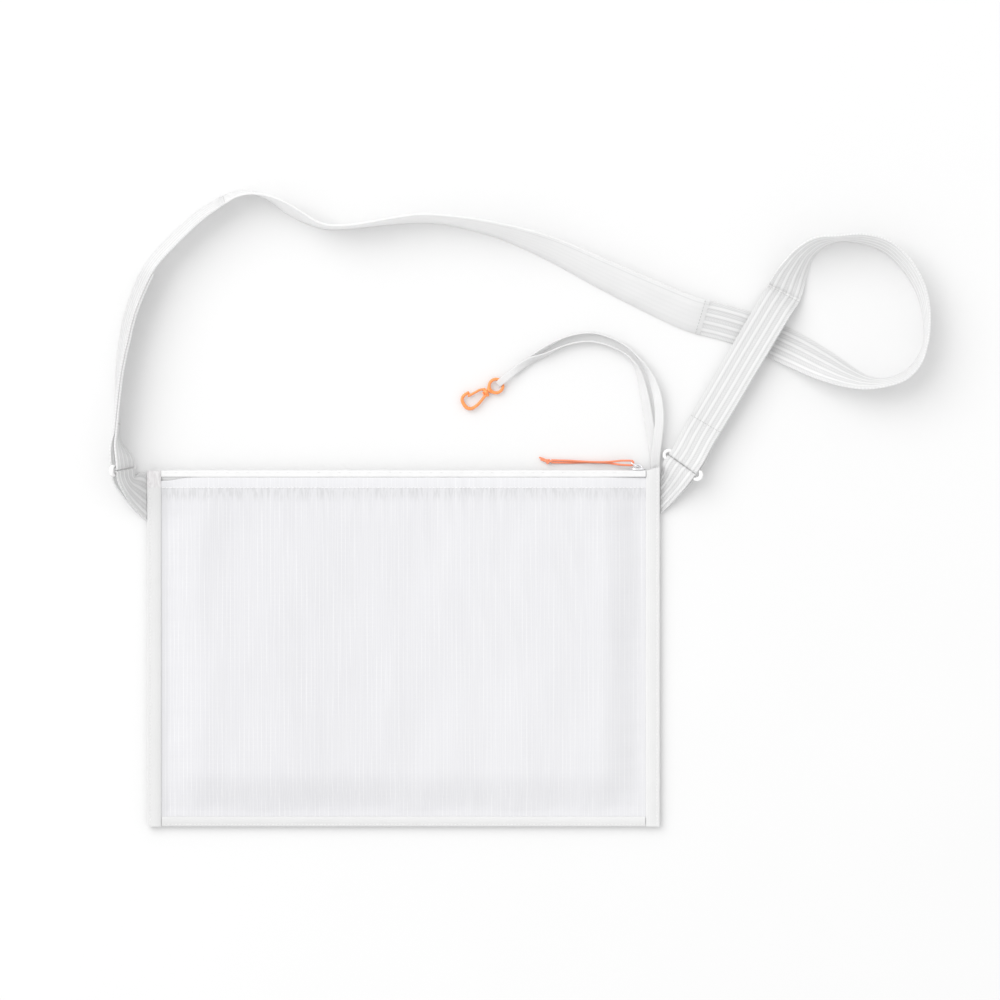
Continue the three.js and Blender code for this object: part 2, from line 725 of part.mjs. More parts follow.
const LEFT_ROUTE = [
  { across: -1.118, up: 0.127, tilt: 84, lift: 0.5 },
  { across: -1.113, up: 0.217, tilt: 88, lift: 0.3 },
  { across: -1.106, up: 0.325, tilt: 87, lift: 0.2 },
  { across: -1.097, up: 0.397, tilt: 85, lift: 0.2 },
  { across: -1.083, up: 0.468, tilt: 83, lift: 0.2 },
  { across: -1.067, up: 0.540, tilt: 82, lift: 0.2 },
  { across: -1.043, up: 0.612, tilt: 80, lift: 0.2 },
  { across: -1.012, up: 0.684, tilt: 77, lift: 0.2 },
  { across: -0.991, up: 0.734, tilt: 71, lift: 0.0 },
  { across: -0.952, up: 0.784, tilt: 68, lift: 0.0 },
  { across: -0.873, up: 0.856, tilt: 69, lift: 0.0 },
  { across: -0.795, up: 0.917, tilt: 72, lift: 0.0 },
  { across: -0.709, up: 0.966, tilt: 76, lift: 0.0 },
];
// The plain middle of the strap, from the left seam to the right one
const MIDDLE_ROUTE = [
  { across: -0.709, up: 0.966, tilt: 76, lift: 0.0 },
  { across: -0.655, up: 0.988, tilt: 80, lift: 0.0 },
  { across: -0.600, up: 0.993, tilt: 83, lift: 0.0 },
  { across: -0.522, up: 0.975, tilt: 80, lift: 0.0 },
  { across: -0.444, up: 0.934, tilt: 75, lift: 0.0 },
  { across: -0.385, up: 0.903, tilt: 80, lift: 0.0 },
  { across: -0.334, up: 0.881, tilt: 85, lift: 0.0 },
  { across: -0.287, up: 0.871, tilt: 87, lift: 0.0 },
  { across: -0.210, up: 0.873, tilt: 88, lift: 0.0 },
  { across: -0.112, up: 0.884, tilt: 86, lift: 0.0 },
  { across: -0.014, up: 0.896, tilt: 82, lift: 0.0 },
  { across: 0.064, up: 0.902, tilt: 80, lift: 0.0 },
  { across: 0.181, up: 0.895, tilt: 78, lift: 0.0 },
  { across: 0.376, up: 0.858, tilt: 69, lift: 0.0 },
  { across: 0.572, up: 0.795, tilt: 53, lift: 0.0 },
  { across: 0.767, up: 0.709, tilt: 40, lift: 0.0 },
  { across: 0.962, up: 0.625, tilt: 28, lift: 0.0 },
  { across: 1.118, up: 0.563, tilt: 16, lift: 0.0 },
  { across: 1.169, up: 0.549, tilt: 13, lift: 0.0 },
];

function strapPlace(row) {
  return vec(row.across * halfWidth, topEdge + row.up * STRAP.rise);
}

// Stations of a smooth bend between two places, each left or met along its own way
function bendStations(from, to, steps) {
  const reach = from.centre.distanceTo(to.centre) / 3;
  const bend = new THREE.CubicBezierCurve3(
    from.centre,
    from.centre.clone().addScaledVector(from.way, reach),
    to.centre.clone().addScaledVector(to.way, -reach),
    to.centre,
  );
  const stations = [];
  for (let i = 0; i < steps; i++) {
    const share = i / steps;
    const across = from.across.clone().lerp(to.across, ease(share));
    stations.push({ centre: bend.getPoint(share), across });
  }
  return stations;
}

// Stations from a ring's bar to the end of a route, turning smoothly from the bar to the route
function stationsFromRing(bar, rows) {
  const route = readRoute(rows, STRAP, strapPlace);
  const from = { centre: bar.centre, way: bar.away, across: bar.across };
  const to = { centre: route[0].centre, way: headingAt(route, 0), across: route[0].across };
  return [...bendStations(from, to, 8), ...route];
}

// The strap's three lengths meet end to end at two seams, a gap apart and cut along one line
const rightStations = stationsFromRing(barOf(rightRing, 1), RIGHT_ROUTE);
const leftStations = stationsFromRing(barOf(leftRing, 1), LEFT_ROUTE);
const middleStations = readRoute(MIDDLE_ROUTE, STRAP, strapPlace);

function shortenEnd(stations, i) {
  const heading = headingAt(stations, i);
  stations[i].centre.addScaledVector(heading, (i === 0 ? 1 : -1) * GAP * 0.7);
}

// Cuts the middle length's end along the same line as the end length it meets; way is -1 where
// the two run against each other
function matchEnd(i, other, way) {
  const station = middleStations[i];
  station.across = acrossAt(other, other.length - 1, STRAP).multiplyScalar(way);
  station.slanted = true;
  shortenEnd(middleStations, i);
  shortenEnd(other, other.length - 1);
}

matchEnd(0, leftStations, 1);
matchEnd(middleStations.length - 1, rightStations, -1);

function endWebbing(frame, stations, radius) {
  const sewnEnd = STRAP.sewn + STRAP.loop;
  return loopedBand(stations, STRAP, barOf(frame, 1), sewnEnd, STRAP.loop, radius, STRAP.width);
}

// Tabs: short doubled webbing, slanted from the pouch's side edge to each ring's near bar.
// Each is held in the side seam from top down to low, both measured below the zip.
const RIGHT_TAB = { top: 1.4, low: 30.7 };
const LEFT_TAB = { top: 2.5, low: 35.6 };

// How far a tab swings towards square as it meets the seam
const TAB_TURN = 0.35;

function tab(frame, seam, side) {
  const bar = barOf(frame, -1);
  const rootX = side * (halfWidth + GAP * 2);
  const root = vec(rootX, topEdge - (seam.top + seam.low) / 2, STRAP.thick + GAP);
  const rootAcross = vec(0, side * (seam.top - seam.low));
  const way = root.clone().sub(bar.centre).setZ(0).normalize().add(vec(-side * TAB_TURN)).normalize();
  const from = { centre: bar.centre, way: bar.away, across: bar.across.clone().setLength(STRAP.width) };
  const to = { centre: root, way, across: rootAcross };
  const stations = [...bendStations(from, to, 10), { centre: root, across: rootAcross }];
  stations.forEach((station) => {
    station.slanted = true;
  });
  const length = travelled(stations).at(-1);
  return loopedBand(stations, STRAP, bar, length, length * 0.6, LOOP.rightRadius, STRAP.width);
}

// Lanyard: one narrow ribbon, doubled, from the zip corner to the hook's eye.
// left and up are shares of the lanyard's reach and rise from its root.
const INNER_STRAND = [
  { left: 0.000, up: 0.000, tilt: 0, lift: 1.2 },
  { left: 0.005, up: 0.108, tilt: -6, lift: 1.2 },
  { left: 0.018, up: 0.217, tilt: -12, lift: 1.2 },
  { left: 0.035, up: 0.325, tilt: -16, lift: 1.2 },
  { left: 0.053, up: 0.448, tilt: -20, lift: 1.2 },
  { left: 0.076, up: 0.578, tilt: -34, lift: 1.0 },
  { left: 0.105, up: 0.700, tilt: -60, lift: 0.6 },
  { left: 0.150, up: 0.790, tilt: -82, lift: 0.3 },
  { left: 0.217, up: 0.852, tilt: -86, lift: 0.2 },
  { left: 0.327, up: 0.907, tilt: -87, lift: 0.0 },
  { left: 0.438, up: 0.928, tilt: -88, lift: 0.0 },
  { left: 0.575, up: 0.902, tilt: -86, lift: 0.0 },
  { left: 0.718, up: 0.828, tilt: -70, lift: 0.4 },
  { left: 0.833, up: 0.776, tilt: -36, lift: 2.0 },
  { left: 0.940, up: 0.690, tilt: -6, lift: 3.2 },
];
const OUTER_STRAND = [
  { left: 0.000, up: 0.000, tilt: 0, lift: 2.6 },
  { left: -0.005, up: 0.108, tilt: -6, lift: 3.0 },
  { left: -0.016, up: 0.217, tilt: -12, lift: 3.9 },
  { left: -0.026, up: 0.325, tilt: -16, lift: 4.6 },
  { left: -0.025, up: 0.448, tilt: -20, lift: 4.6 },
  { left: -0.004, up: 0.578, tilt: -34, lift: 3.6 },
  { left: 0.044, up: 0.704, tilt: -60, lift: 2.0 },
  { left: 0.106, up: 0.802, tilt: -82, lift: 0.8 },
  { left: 0.180, up: 0.884, tilt: -86, lift: 0.3 },
  { left: 0.288, up: 0.953, tilt: -87, lift: 0.0 },
  { left: 0.412, up: 0.989, tilt: -87, lift: 0.0 },
  { left: 0.549, up: 0.970, tilt: -86, lift: 0.0 },
  { left: 0.685, up: 0.900, tilt: -78, lift: 0.0 },
  { left: 0.820, up: 0.788, tilt: -40, lift: 0.0 },
  { left: 0.930, up: 0.697, tilt: -6, lift: 0.0 },
];

const lanyardRoot = vec(halfWidth - LANYARD.rootInset, topEdge + GAP);

function lanyardPlace(row) {
  return vec(lanyardRoot.x - row.left * LANYARD.reachLeft, lanyardRoot.y + row.up * LANYARD.rise);
}

// Hook: it lies beside the lanyard's end. Its own x runs from the neck to the tip.
// The ribbon's turn round the eye is an oval: rise is its half height and run its half length,
// which reaches in to where the gathered ribbon fits across the round eye.
const eyeTurn = { rise: HOOK.eyeWire / 2 + GAP * 1.5 + LANYARD.thick / 2, run: 3.0 };
const hookHigh = LANYARD.thick / 2 + GAP / 2 + eyeTurn.rise;
const hookWay = vec(Math.cos(radians(HOOK.heading)), Math.sin(radians(HOOK.heading)));
const hookSide = vec(-hookWay.y, hookWay.x);
const lanyardWay = vec(Math.cos(radians(LANYARD.heading)), Math.sin(radians(LANYARD.heading)));
const eyeBar = lanyardPlace({ left: 1, up: 0.637 }).setZ(hookHigh);
const eyeCentre = eyeBar.clone().addScaledVector(lanyardWay, -HOOK.eyeRadius);
const neck = eyeCentre.clone().addScaledVector(hookWay, HOOK.neckToEye);

function hookPoint(x, y, z = 0) {
  return neck.clone().addScaledVector(hookWay, x).addScaledVector(hookSide, y).addScaledVector(UP, z);
}

// A cylinder on the hook's own axis, from one place along it to another
function onHookAxis(from, to, diameter, sides) {
  const cylinder = new THREE.CylinderGeometry(diameter / 2, diameter / 2, to - from, sides);
  const turn = new THREE.Matrix4().makeBasis(hookSide, hookWay, UP.clone().negate());
  cylinder.applyMatrix4(turn);
  const middle = hookPoint((from + to) / 2, 0);
  return cylinder.translate(middle.x, middle.y, middle.z);
}

function hookEye() {
  const ring = new THREE.TorusGeometry(HOOK.eyeRadius, HOOK.eyeWire / 2, HOOK.sides, 24);
  ring.translate(eyeCentre.x, eyeCentre.y, eyeCentre.z);
  const inward = HOOK.eyeRadius - HOOK.neckToEye;
  const collar = onHookAxis(inward, -GAP, HOOK.neckWide * 0.8, 12);
  const pegEnd = HOOK.neckLength + GAP;
  const peg = onHookAxis(inward, pegEnd + HOOK.headLong / 2, HOOK.peg, 12);
  const head = onHookAxis(pegEnd, pegEnd + HOOK.headLong, HOOK.pegHead, 12);
  return fromSolid(joined([ring, collar, peg, head]));
}

// The hook's bow from the neck round to the nose, then its spring gate back to the nose.
// along is a share of the hook's length and side a share of its width.
const BOW = [
  { along: 0.06, side: 0.10 },
  { along: 0.22, side: 0.20 },
  { along: 0.44, side: 0.34 },
  { along: 0.65, side: 0.42 },
  { along: 0.86, side: 0.40 },
  { along: 0.98, side: 0.18 },
  { along: 1.00, side: -0.22 },
  { along: 0.955, side: -0.45 },
  { along: 0.83, side: -0.58 },
  { along: 0.65, side: -0.60 },
];
const GATE = [
  { along: 0.06, side: -0.12 },
  { along: 0.12, side: -0.27 },
  { along: 0.22, side: -0.345 },
  { along: 0.45, side: -0.37 },
  { along: 0.68, side: -0.395 },
];

function hookBody() {
  const onHook = (row) => hookPoint(row.along * HOOK.length, row.side * HOOK.wide);
  const bow = rod(BOW.map(onHook), HOOK.bar, HOOK.sides, 34);
  const gate = rod(GATE.map(onHook), HOOK.gateBar, HOOK.sides, 14);
  const barrel = onHookAxis(0, HOOK.neckLength, HOOK.neckWide, 12);
  const bore = onHookAxis(-GAP, HOOK.neckLength + GAP, HOOK.peg + 2 * GAP, 12);
  const insideEnd = HOOK.neckLength + 2 * GAP + HOOK.headLong;
  const inside = onHookAxis(HOOK.neckLength - GAP / 3, insideEnd, HOOK.pegHead + 2 * GAP, 12);
  const whole = joined([bow, gate, barrel]);
  return fromSolid(whole.subtract(toSolid(bore)).subtract(toSolid(inside)));
}

// Gathers a strand's width over the last part of its run, towards the eye
function gather(stations) {
  const distance = travelled(stations);
  const length = distance.at(-1);
  stations.forEach((station, i) => {
    const near = ease(1 - (length - distance[i]) / LANYARD.gatherRun);
    station.width = mix(LANYARD.width, LANYARD.eyeWidth, near);
  });
  return stations;
}

// The ribbon's inner strand carries the turn round the eye, and the outer strand ends under it
function innerStrand() {
  const stations = gather(readRoute(INNER_STRAND, LANYARD, lanyardPlace));
  const across = vec(lanyardWay.y, -lanyardWay.x);
  const turnSteps = 8;
  for (let i = 0; i <= turnSteps; i++) {
    const angle = Math.PI / 2 + Math.PI * i / turnSteps;
    const centre = eyeBar.clone()
      .addScaledVector(lanyardWay, eyeTurn.run * Math.cos(angle))
      .addScaledVector(UP, eyeTurn.rise * Math.sin(angle));
    stations.push({ centre, across, width: LANYARD.eyeWidth });
  }
  return stations;
}

function outerStrand() {
  return gather(readRoute(OUTER_STRAND, LANYARD, lanyardPlace));
}

// Assembly

add('back_panel', backPanel(), cloth);
add('front_panel', frontPanel(), cloth);
add('left_binding', sideBinding(-1), tape);
add('right_binding', sideBinding(1), tape);
add('bottom_hem', bottomHem(), tape);
add('zip_tape_front', frontTape(), zipWhite);
add('zip_tape_back', backTape(), zipWhite);
add('zip_coil', zipCoil(), zipWhite);
add('zip_slider', slider(), chrome);
add('pull_link', pullLink(), chrome);
add('pull_cord_front', pullCord(1), coralCord);
add('pull_cord_back', pullCord(-1), coralCord);
add('pull_knot', pullKnot(), coralCord);
add('right_ring', strapRing(rightRing), whitePlastic);
add('left_ring', strapRing(leftRing), whitePlastic);
add('right_tab', tab(rightRing, RIGHT_TAB, 1), webbing);
add('left_tab', tab(leftRing, LEFT_TAB, -1), webbing);
add('right_webbing', endWebbing(rightRing, rightStations, LOOP.rightRadius), webbing);
add('left_webbing', endWebbing(leftRing, leftStations, LOOP.leftRadius), webbing);
add('middle_webbing', band(middleStations, STRAP), webbing);
add('lanyard_inner', band(innerStrand(), LANYARD), webbing);
add('lanyard_outer', band(outerStrand(), LANYARD), webbing);
add('hook_eye', hookEye(), orangePlastic);
add('hook_body', hookBody(), orangePlastic);

export default bag;
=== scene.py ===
"""Cycling musette bag lying flat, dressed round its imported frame.

A thin zipped pouch of light ripstop, a ribbed shoulder strap on two white rings, and a narrow
doubled lanyard with an orange snap hook. Sizes are millimetres, as in the part's own source, and
become metres when a mesh is made.
"""

import logging
import math
from dataclasses import dataclass, field
from enum import Enum
from typing import Any

import bpy
import numpy as np
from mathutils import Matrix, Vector, noise


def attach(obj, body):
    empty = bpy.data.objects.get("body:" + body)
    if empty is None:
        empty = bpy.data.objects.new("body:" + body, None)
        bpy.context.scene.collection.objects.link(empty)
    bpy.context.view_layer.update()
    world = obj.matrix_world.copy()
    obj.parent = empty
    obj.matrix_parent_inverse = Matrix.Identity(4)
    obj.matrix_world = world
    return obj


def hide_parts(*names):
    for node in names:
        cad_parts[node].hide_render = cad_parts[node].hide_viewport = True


Array = np.ndarray
Piece = bpy.types.Object
Socket = bpy.types.NodeSocket
Look = dict[str, Any]

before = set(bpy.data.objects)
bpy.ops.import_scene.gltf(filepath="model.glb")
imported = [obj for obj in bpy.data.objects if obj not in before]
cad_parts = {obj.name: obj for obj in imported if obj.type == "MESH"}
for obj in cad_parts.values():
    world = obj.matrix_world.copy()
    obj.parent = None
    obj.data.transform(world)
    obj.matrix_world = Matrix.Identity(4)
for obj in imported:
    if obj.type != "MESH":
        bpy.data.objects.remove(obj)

MM = 0.001
GAP = 0.3
UP = np.array([0.0, 0.0, 1.0])
PHOTO_SIZE = 1000
log = logging.getLogger("musette_bag")

# Angles in degrees past which an edge stays crisp
FORM_CREASE = 40.0
CLOTH_CREASE = 60.0
TAPE_CREASE = 50.0
RIB_CREASE = 35.0
NO_CREASE = 180.0

# The part of a woven line's half width that is at full strength
LINE_CORE = 0.3


class Side(Enum):
    """The two sides of the pouch, by the sign of x."""

    LEFT = -1
    RIGHT = 1


class Weave(Enum):
    """How a band of webbing is woven."""

    RIBBED = "ribbed"
    PLAIN = "plain"


# Numbers and vectors


def mix(low: Any, high: Any, share: Any) -> Any:
    """Gives the value a share of the way from low to high."""
    return low + (high - low) * share


def ease(value: Any) -> Any:
    """Gives a smooth step from 0 to 1 while value goes from 0 to 1."""
    t = np.clip(value, 0.0, 1.0)
    return t * t * (3.0 - 2.0 * t)


def unit(vectors: Array) -> Array:
    """Gives each vector the length of one."""
    return vectors / np.maximum(np.linalg.norm(vectors, axis=-1, keepdims=True), 1e-12)


def vec(x: float, y: float, z: float = 0.0) -> Array:
    """Makes a point or a way from its three numbers."""
    return np.array([x, y, z], dtype=float)


def rows_of(x: Any, y: Any, z: Any) -> Array:
    """Gives places from their three numbers, any of which may be one number for all."""
    return np.stack(np.broadcast_arrays(x, y, z), axis=-1)


def squared(wave: Array, power: float) -> Array:
    """Makes a sine or cosine squarer, by a power below one."""
    return np.sign(wave) * np.abs(wave) ** power


def turned(degrees: float) -> Array:
    """Gives the level unit way at an angle from +X."""
    return vec(math.cos(math.radians(degrees)), math.sin(math.radians(degrees)))


def bump_of(value: Any, middle: float, wide: float) -> Any:
    """Gives a bell of height one about a middle."""
    return np.exp(-(((value - middle) / wide) ** 2))


def noise_at(x: Array, y: Array, seed: float) -> Array:
    """Gives smooth noise, the same each run.

    Args:
        x: places across, in units of the noise's size.
        y: places up, in the same units.
        seed: which slice of the noise is read.

    Returns:
        One value from about -1 to 1 for each place.
    """
    flat = zip(np.ravel(x), np.ravel(y))
    return np.array([noise.noise((a, b, seed)) for a, b in flat]).reshape(np.shape(x))


def through(points: Array, shares: Array) -> Array:
    """Samples the centripetal Catmull-Rom line through a row of points.

    Args:
        points: the places that the line passes, one a row.
        shares: how far along to sample it, from 0 to 1, evenly over the rows.

    Returns:
        One place for each share.
    """
    ends = [2 * points[:1] - points[1:2], points, 2 * points[-1:] - points[-2:-1]]
    row = np.vstack(ends)
    at = shares * (len(points) - 1)
    i = np.minimum(at.astype(int), len(points) - 2)
    t = (at - i)[:, None]
    a, b, c, d = row[i], row[i + 1], row[i + 2], row[i + 3]

    def knot(p: Array, q: Array) -> Array:
        """Gives the knot distance between two rows of places."""
        return np.sum((q - p) ** 2, axis=1, keepdims=True) ** 0.25

    k1 = knot(b, c)
    k1 = np.where(k1 < 1e-4, 1.0, k1)
    k0 = np.where(knot(a, b) < 1e-4, k1, knot(a, b))
    k2 = np.where(knot(c, d) < 1e-4, k1, knot(c, d))
    leave = ((b - a) / k0 - (c - a) / (k0 + k1) + (c - b) / k1) * k1
    meet = ((c - b) / k1 - (d - b) / (k1 + k2) + (d - c) / k2) * k1
    square = 3 * (c - b) - 2 * leave - meet
    return b + leave * t + square * t**2 + (2 * (b - c) + leave + meet) * t**3


def travelled(points: Array) -> Array:
    """Gives the distance along a row of places, from 0 at the first."""
    steps = np.linalg.norm(np.diff(points, axis=0), axis=1)
    return np.concatenate([[0.0], np.cumsum(steps)])


def headings(points: Array) -> Array:
    """Gives the unit way along a row of places at each of them."""
    before = np.vstack([points[:1], points[:-1]])
    after = np.vstack([points[1:], points[-1:]])
    return unit(after - before)


# Meshes in the making


@dataclass
class Skin:
    """Points in millimetres, faces, and the UV of each face's corners in metres."""

    points: Array
    faces: list[list[int]]
    corners: list[list[float]]

    def joined(self, other: "Skin") -> "Skin":
        """Gives both skins as one, as separate shells.

        Args:
            other: the second skin.

        Returns:
            A new skin of both.
        """
        shift = len(self.points)
        moved = [[i + shift for i in face] for face in other.faces]
        points = np.vstack([self.points, other.points])
        return Skin(points, self.faces + moved, self.corners + other.corners)

    def piece(self, name: str, sharp: float = FORM_CREASE) -> Piece:
        """Makes the Blender object.

        Args:
            name: the object's name.
            sharp: the angle in degrees past which an edge stays crisp.

        Returns:
            The object, with its place in its mesh.
        """
        mesh = bpy.data.meshes.new(name)
        mesh.from_pydata((self.points * MM).tolist(), [], self.faces)
        layer = mesh.uv_layers.new(name="UVMap")
        layer.data.foreach_set("uv", np.asarray(self.corners, dtype=np.float32).ravel())
        smoothed(mesh, sharp)
        return placed(name, mesh)


def placed(name: str, data: bpy.types.ID) -> Piece:
    """Puts a new object with this data in the scene."""
    made = bpy.data.objects.new(name, data)
    bpy.context.scene.collection.objects.link(made)
    return made


def smoothed(mesh: bpy.types.Mesh, sharp: float) -> None:
    """Shades a mesh smooth, with edges past an angle in degrees left crisp."""
    mesh.shade_smooth()
    mesh.set_sharp_from_angle(angle=math.radians(sharp))
    mesh.update()


def skin(
    rings: Array, around: Array | None = None, along: Array | None = None, looped: bool = False
) -> Skin:
    """Closes a skin over rings of points.

    Args:
        rings: the rings, one after another, with the same number of points in each.
        around: the U of each point of a ring, in metres, and of the first one again.
        along: the V of each ring, in metres, and of the first one again when looped.
        looped: whether the last ring meets the first, instead of two end faces.

    Returns:
        The closed skin.
    """
    count, size = rings.shape[:2]
    if around is None:
        around = np.arange(size + 1) / size
    if along is None:
        along = np.arange(count + 1) / count
    faces, corners = [], []
    for i in range(count if looped else count - 1):
        n = (i + 1) % count
        for j in range(size):
            k = (j + 1) % size
            faces.append([i * size + j, i * size + k, n * size + k, n * size + j])
            low, high, here, there = around[j], around[j + 1], along[i], along[i + 1]
            corners += [[low, here], [high, here], [high, there], [low, there]]
    if not looped:
        last = (count - 1) * size
        faces.append(list(range(size))[::-1])
        faces.append([last + j for j in range(size)])
        corners += [[around[j], along[0]] for j in range(size)][::-1]
        corners += [[around[j], along[count - 1]] for j in range(size)]
    return Skin(rings.reshape(-1, 3), faces, corners)


def lattice(x: Array, y: Array, low: Array, high: Array) -> Skin:
    """Closes a thin wall between two height fields over a grid.

    Args:
        x: the grid's columns, rising.
        y: the grid's rows, rising.
        low: the lower face's height at each row and column.
        high: the upper face's height.

    Returns:
        The closed skin, whose UV is the place on the grid.
    """
    wide, tall = len(x), len(y)
    gx, gy = np.meshgrid(x, y)
    points = np.vstack([rows_of(gx, gy, z).reshape(-1, 3) for z in (low, high)])
    layer = wide * tall
    i = (np.arange(tall - 1)[:, None] * wide + np.arange(wide - 1)[None]).ravel()
    under = np.stack([i, i + wide, i + wide + 1, i + 1], axis=1)
    over = layer + np.stack([i, i + 1, i + wide + 1, i + wide], axis=1)
    near, left = np.arange(wide - 1), np.arange(tall - 1) * wide
    far, right = near + (tall - 1) * wide, left + wide - 1
    rim = ((near, near + 1), (far + 1, far), (left + wide, left), (right, right + wide))
    walls = [np.stack([a, b, layer + b, layer + a], axis=1) for a, b in rim]
    faces = np.vstack([under, over, *walls])
    corners = points[faces.ravel(), :2] * MM
    return Skin(points, faces.tolist(), corners.tolist())


def tube(
    points: Array,
    radius: float | Array,
    sides: int = 16,
    looped: bool = False,
    flat: float = 1.0,
    first: Array | None = None,
) -> Skin:
    """Sweeps a round section along a row of places.

    Args:
        points: the centreline.
        radius: the section's radius, or one for each place.
        sides: how many points a section has.
        looped: whether the line closes on itself.
        flat: the section's height as a share of its width, along the first normal.
        first: a way that the first section's own up leans to.

    Returns:
        The closed skin, with its UV round and along the tube in metres.
    """
    if looped:
        ways = unit(np.roll(points, -1, axis=0) - np.roll(points, 1, axis=0))
    else:
        ways = headings(points)
    normal = UP if first is None else first
    if abs(float(np.dot(normal, ways[0]))) > 0.95:
        normal = vec(1.0, 0.0)
    angle = 2 * math.pi * np.arange(sides) / sides
    radii = np.broadcast_to(np.asarray(radius, dtype=float), (len(points),))
    rings = []
    for centre, way, size in zip(points, ways, radii):
        normal = unit(normal - way * np.dot(normal, way))
        side = np.cross(normal, way)
        turn = np.cos(angle)[:, None] * side + flat * np.sin(angle)[:, None] * normal
        rings.append(centre + turn * -size)
    distance = travelled(np.vstack([points, points[:1]]))
    around = np.arange(sides + 1) / sides * 2 * math.pi * float(radii.mean()) * MM
    return skin(np.array(rings)[:, ::-1], around, distance * MM, looped)


def rounded_end(points: Array, radius: float) -> tuple[Array, Array]:
    """Adds round ends to a line that is swept into a rod.

    Args:
        points: the rod's centreline.
        radius: the rod's radius.

    Returns:
        The longer line, and the radius at each of its places.
    """
    ways = headings(points)
    bulge = np.array([1.0, 0.85, 0.55])
    close = np.sqrt(1.0 - bulge**2) + 0.02
    start = points[0] - ways[0] * (bulge * radius)[:, None]
    end = points[-1] + ways[-1] * (bulge[::-1] * radius)[:, None]
    line = np.vstack([start, points, end])
    body = np.full(len(points), radius)
    return line, np.concatenate([close * radius, body, close[::-1] * radius])


def rod(points: Array, radius: float, sides: int = 16, flat: float = 1.0) -> Skin:
    """Makes a rod with round ends along a row of places."""
    line, radii = rounded_end(points, radius)
    return tube(line, radii, sides, flat=flat)


def box(low: Array, high: Array) -> Skin:
    """Makes a plain box between two opposite corners, for fusing with others."""
    ring = [(low[0], low[1]), (high[0], low[1]), (high[0], high[1]), (low[0], high[1])]
    rings = np.array([[vec(x, y, z) for x, y in ring] for z in (low[2], high[2])])
    return skin(rings)


def settle(made: Piece, sharp: float = FORM_CREASE) -> Piece:
    """Turns an object with live modifiers into a plain mesh.

    Args:
        made: the object.
        sharp: the angle in degrees past which an edge stays crisp.

    Returns:
        The same object, with the result as its mesh and no modifiers.
    """
    graph = bpy.context.evaluated_depsgraph_get()
    mesh = bpy.data.meshes.new_from_object(made.evaluated_get(graph))
    made.modifiers.clear()
    made.data = mesh
    mesh.name = made.name
    smoothed(mesh, sharp)
    return made


def fused(name: str, parts: list[Skin], voxel: float, passes: int = 4) -> Piece:
    """Fuses overlapping closed forms into one body.

    Args:
        name: the object's name.
        parts: the closed forms.
        voxel: the size of the remesh in millimetres.
        passes: how many times the surface is smoothed.

    Returns:
        The object, as a plain mesh.
    """
    whole = parts[0]
    for part in parts[1:]:
        whole = whole.joined(part)
    made = whole.piece(name)
    remesh = made.modifiers.new("one_body", "REMESH")
    remesh.mode = "VOXEL"
    remesh.voxel_size = voxel * MM
    soften = made.modifiers.new("soften", "SMOOTH")
    soften.factor = 0.5
    soften.iterations = passes
    return settle(made, NO_CREASE)


def drilled(made: Piece, cutters: list[Skin]) -> Piece:
    """Cuts closed forms out of an object.

    Args:
        made: the object to cut.
        cutters: the closed forms to take away.

    Returns:
        The same object, as a plain mesh.
    """
    helpers = []
    for i, cutter in enumerate(cutters):
        helper = cutter.piece(f"cutter_{i}")
        cut = made.modifiers.new("cut", "BOOLEAN")
        cut.operation = "DIFFERENCE"
        cut.solver = "EXACT"
        cut.object = helper
        helpers.append(helper)
    settle(made, TAPE_CREASE)
    for helper in helpers:
        bpy.data.objects.remove(helper)
    return made


# Rows of repeated pieces, by Geometry Nodes


@dataclass
class Seam:
    """Lines that a row of stitches or teeth follows, with the way out of the surface."""

    lines: list[tuple[Array, Array]] = field(default_factory=list)

    def add(self, points: Array, ups: Array) -> None:
        """Adds one line, with one way up for each of its places."""
        self.lines.append((points, np.broadcast_to(ups, points.shape)))

    def carrier(self, name: str) -> Piece:
        """Makes the object of loose edges that the nodes read, with its up attribute.

        Args:
            name: the object's name.

        Returns:
            The object.
        """
        mesh = bpy.data.meshes.new(name)
        points = np.vstack([line for line, _ in self.lines]) * MM
        ups = np.vstack([up for _, up in self.lines])
        edges, start = [], 0
        for line, _ in self.lines:
            edges += [(start + i, start + i + 1) for i in range(len(line) - 1)]
            start += len(line)
        mesh.from_pydata(points.tolist(), edges, [])
        up = mesh.attributes.new("up", "FLOAT_VECTOR", "POINT")
        up.data.foreach_set("vector", ups.astype(np.float32).ravel())
        return placed(name, mesh)


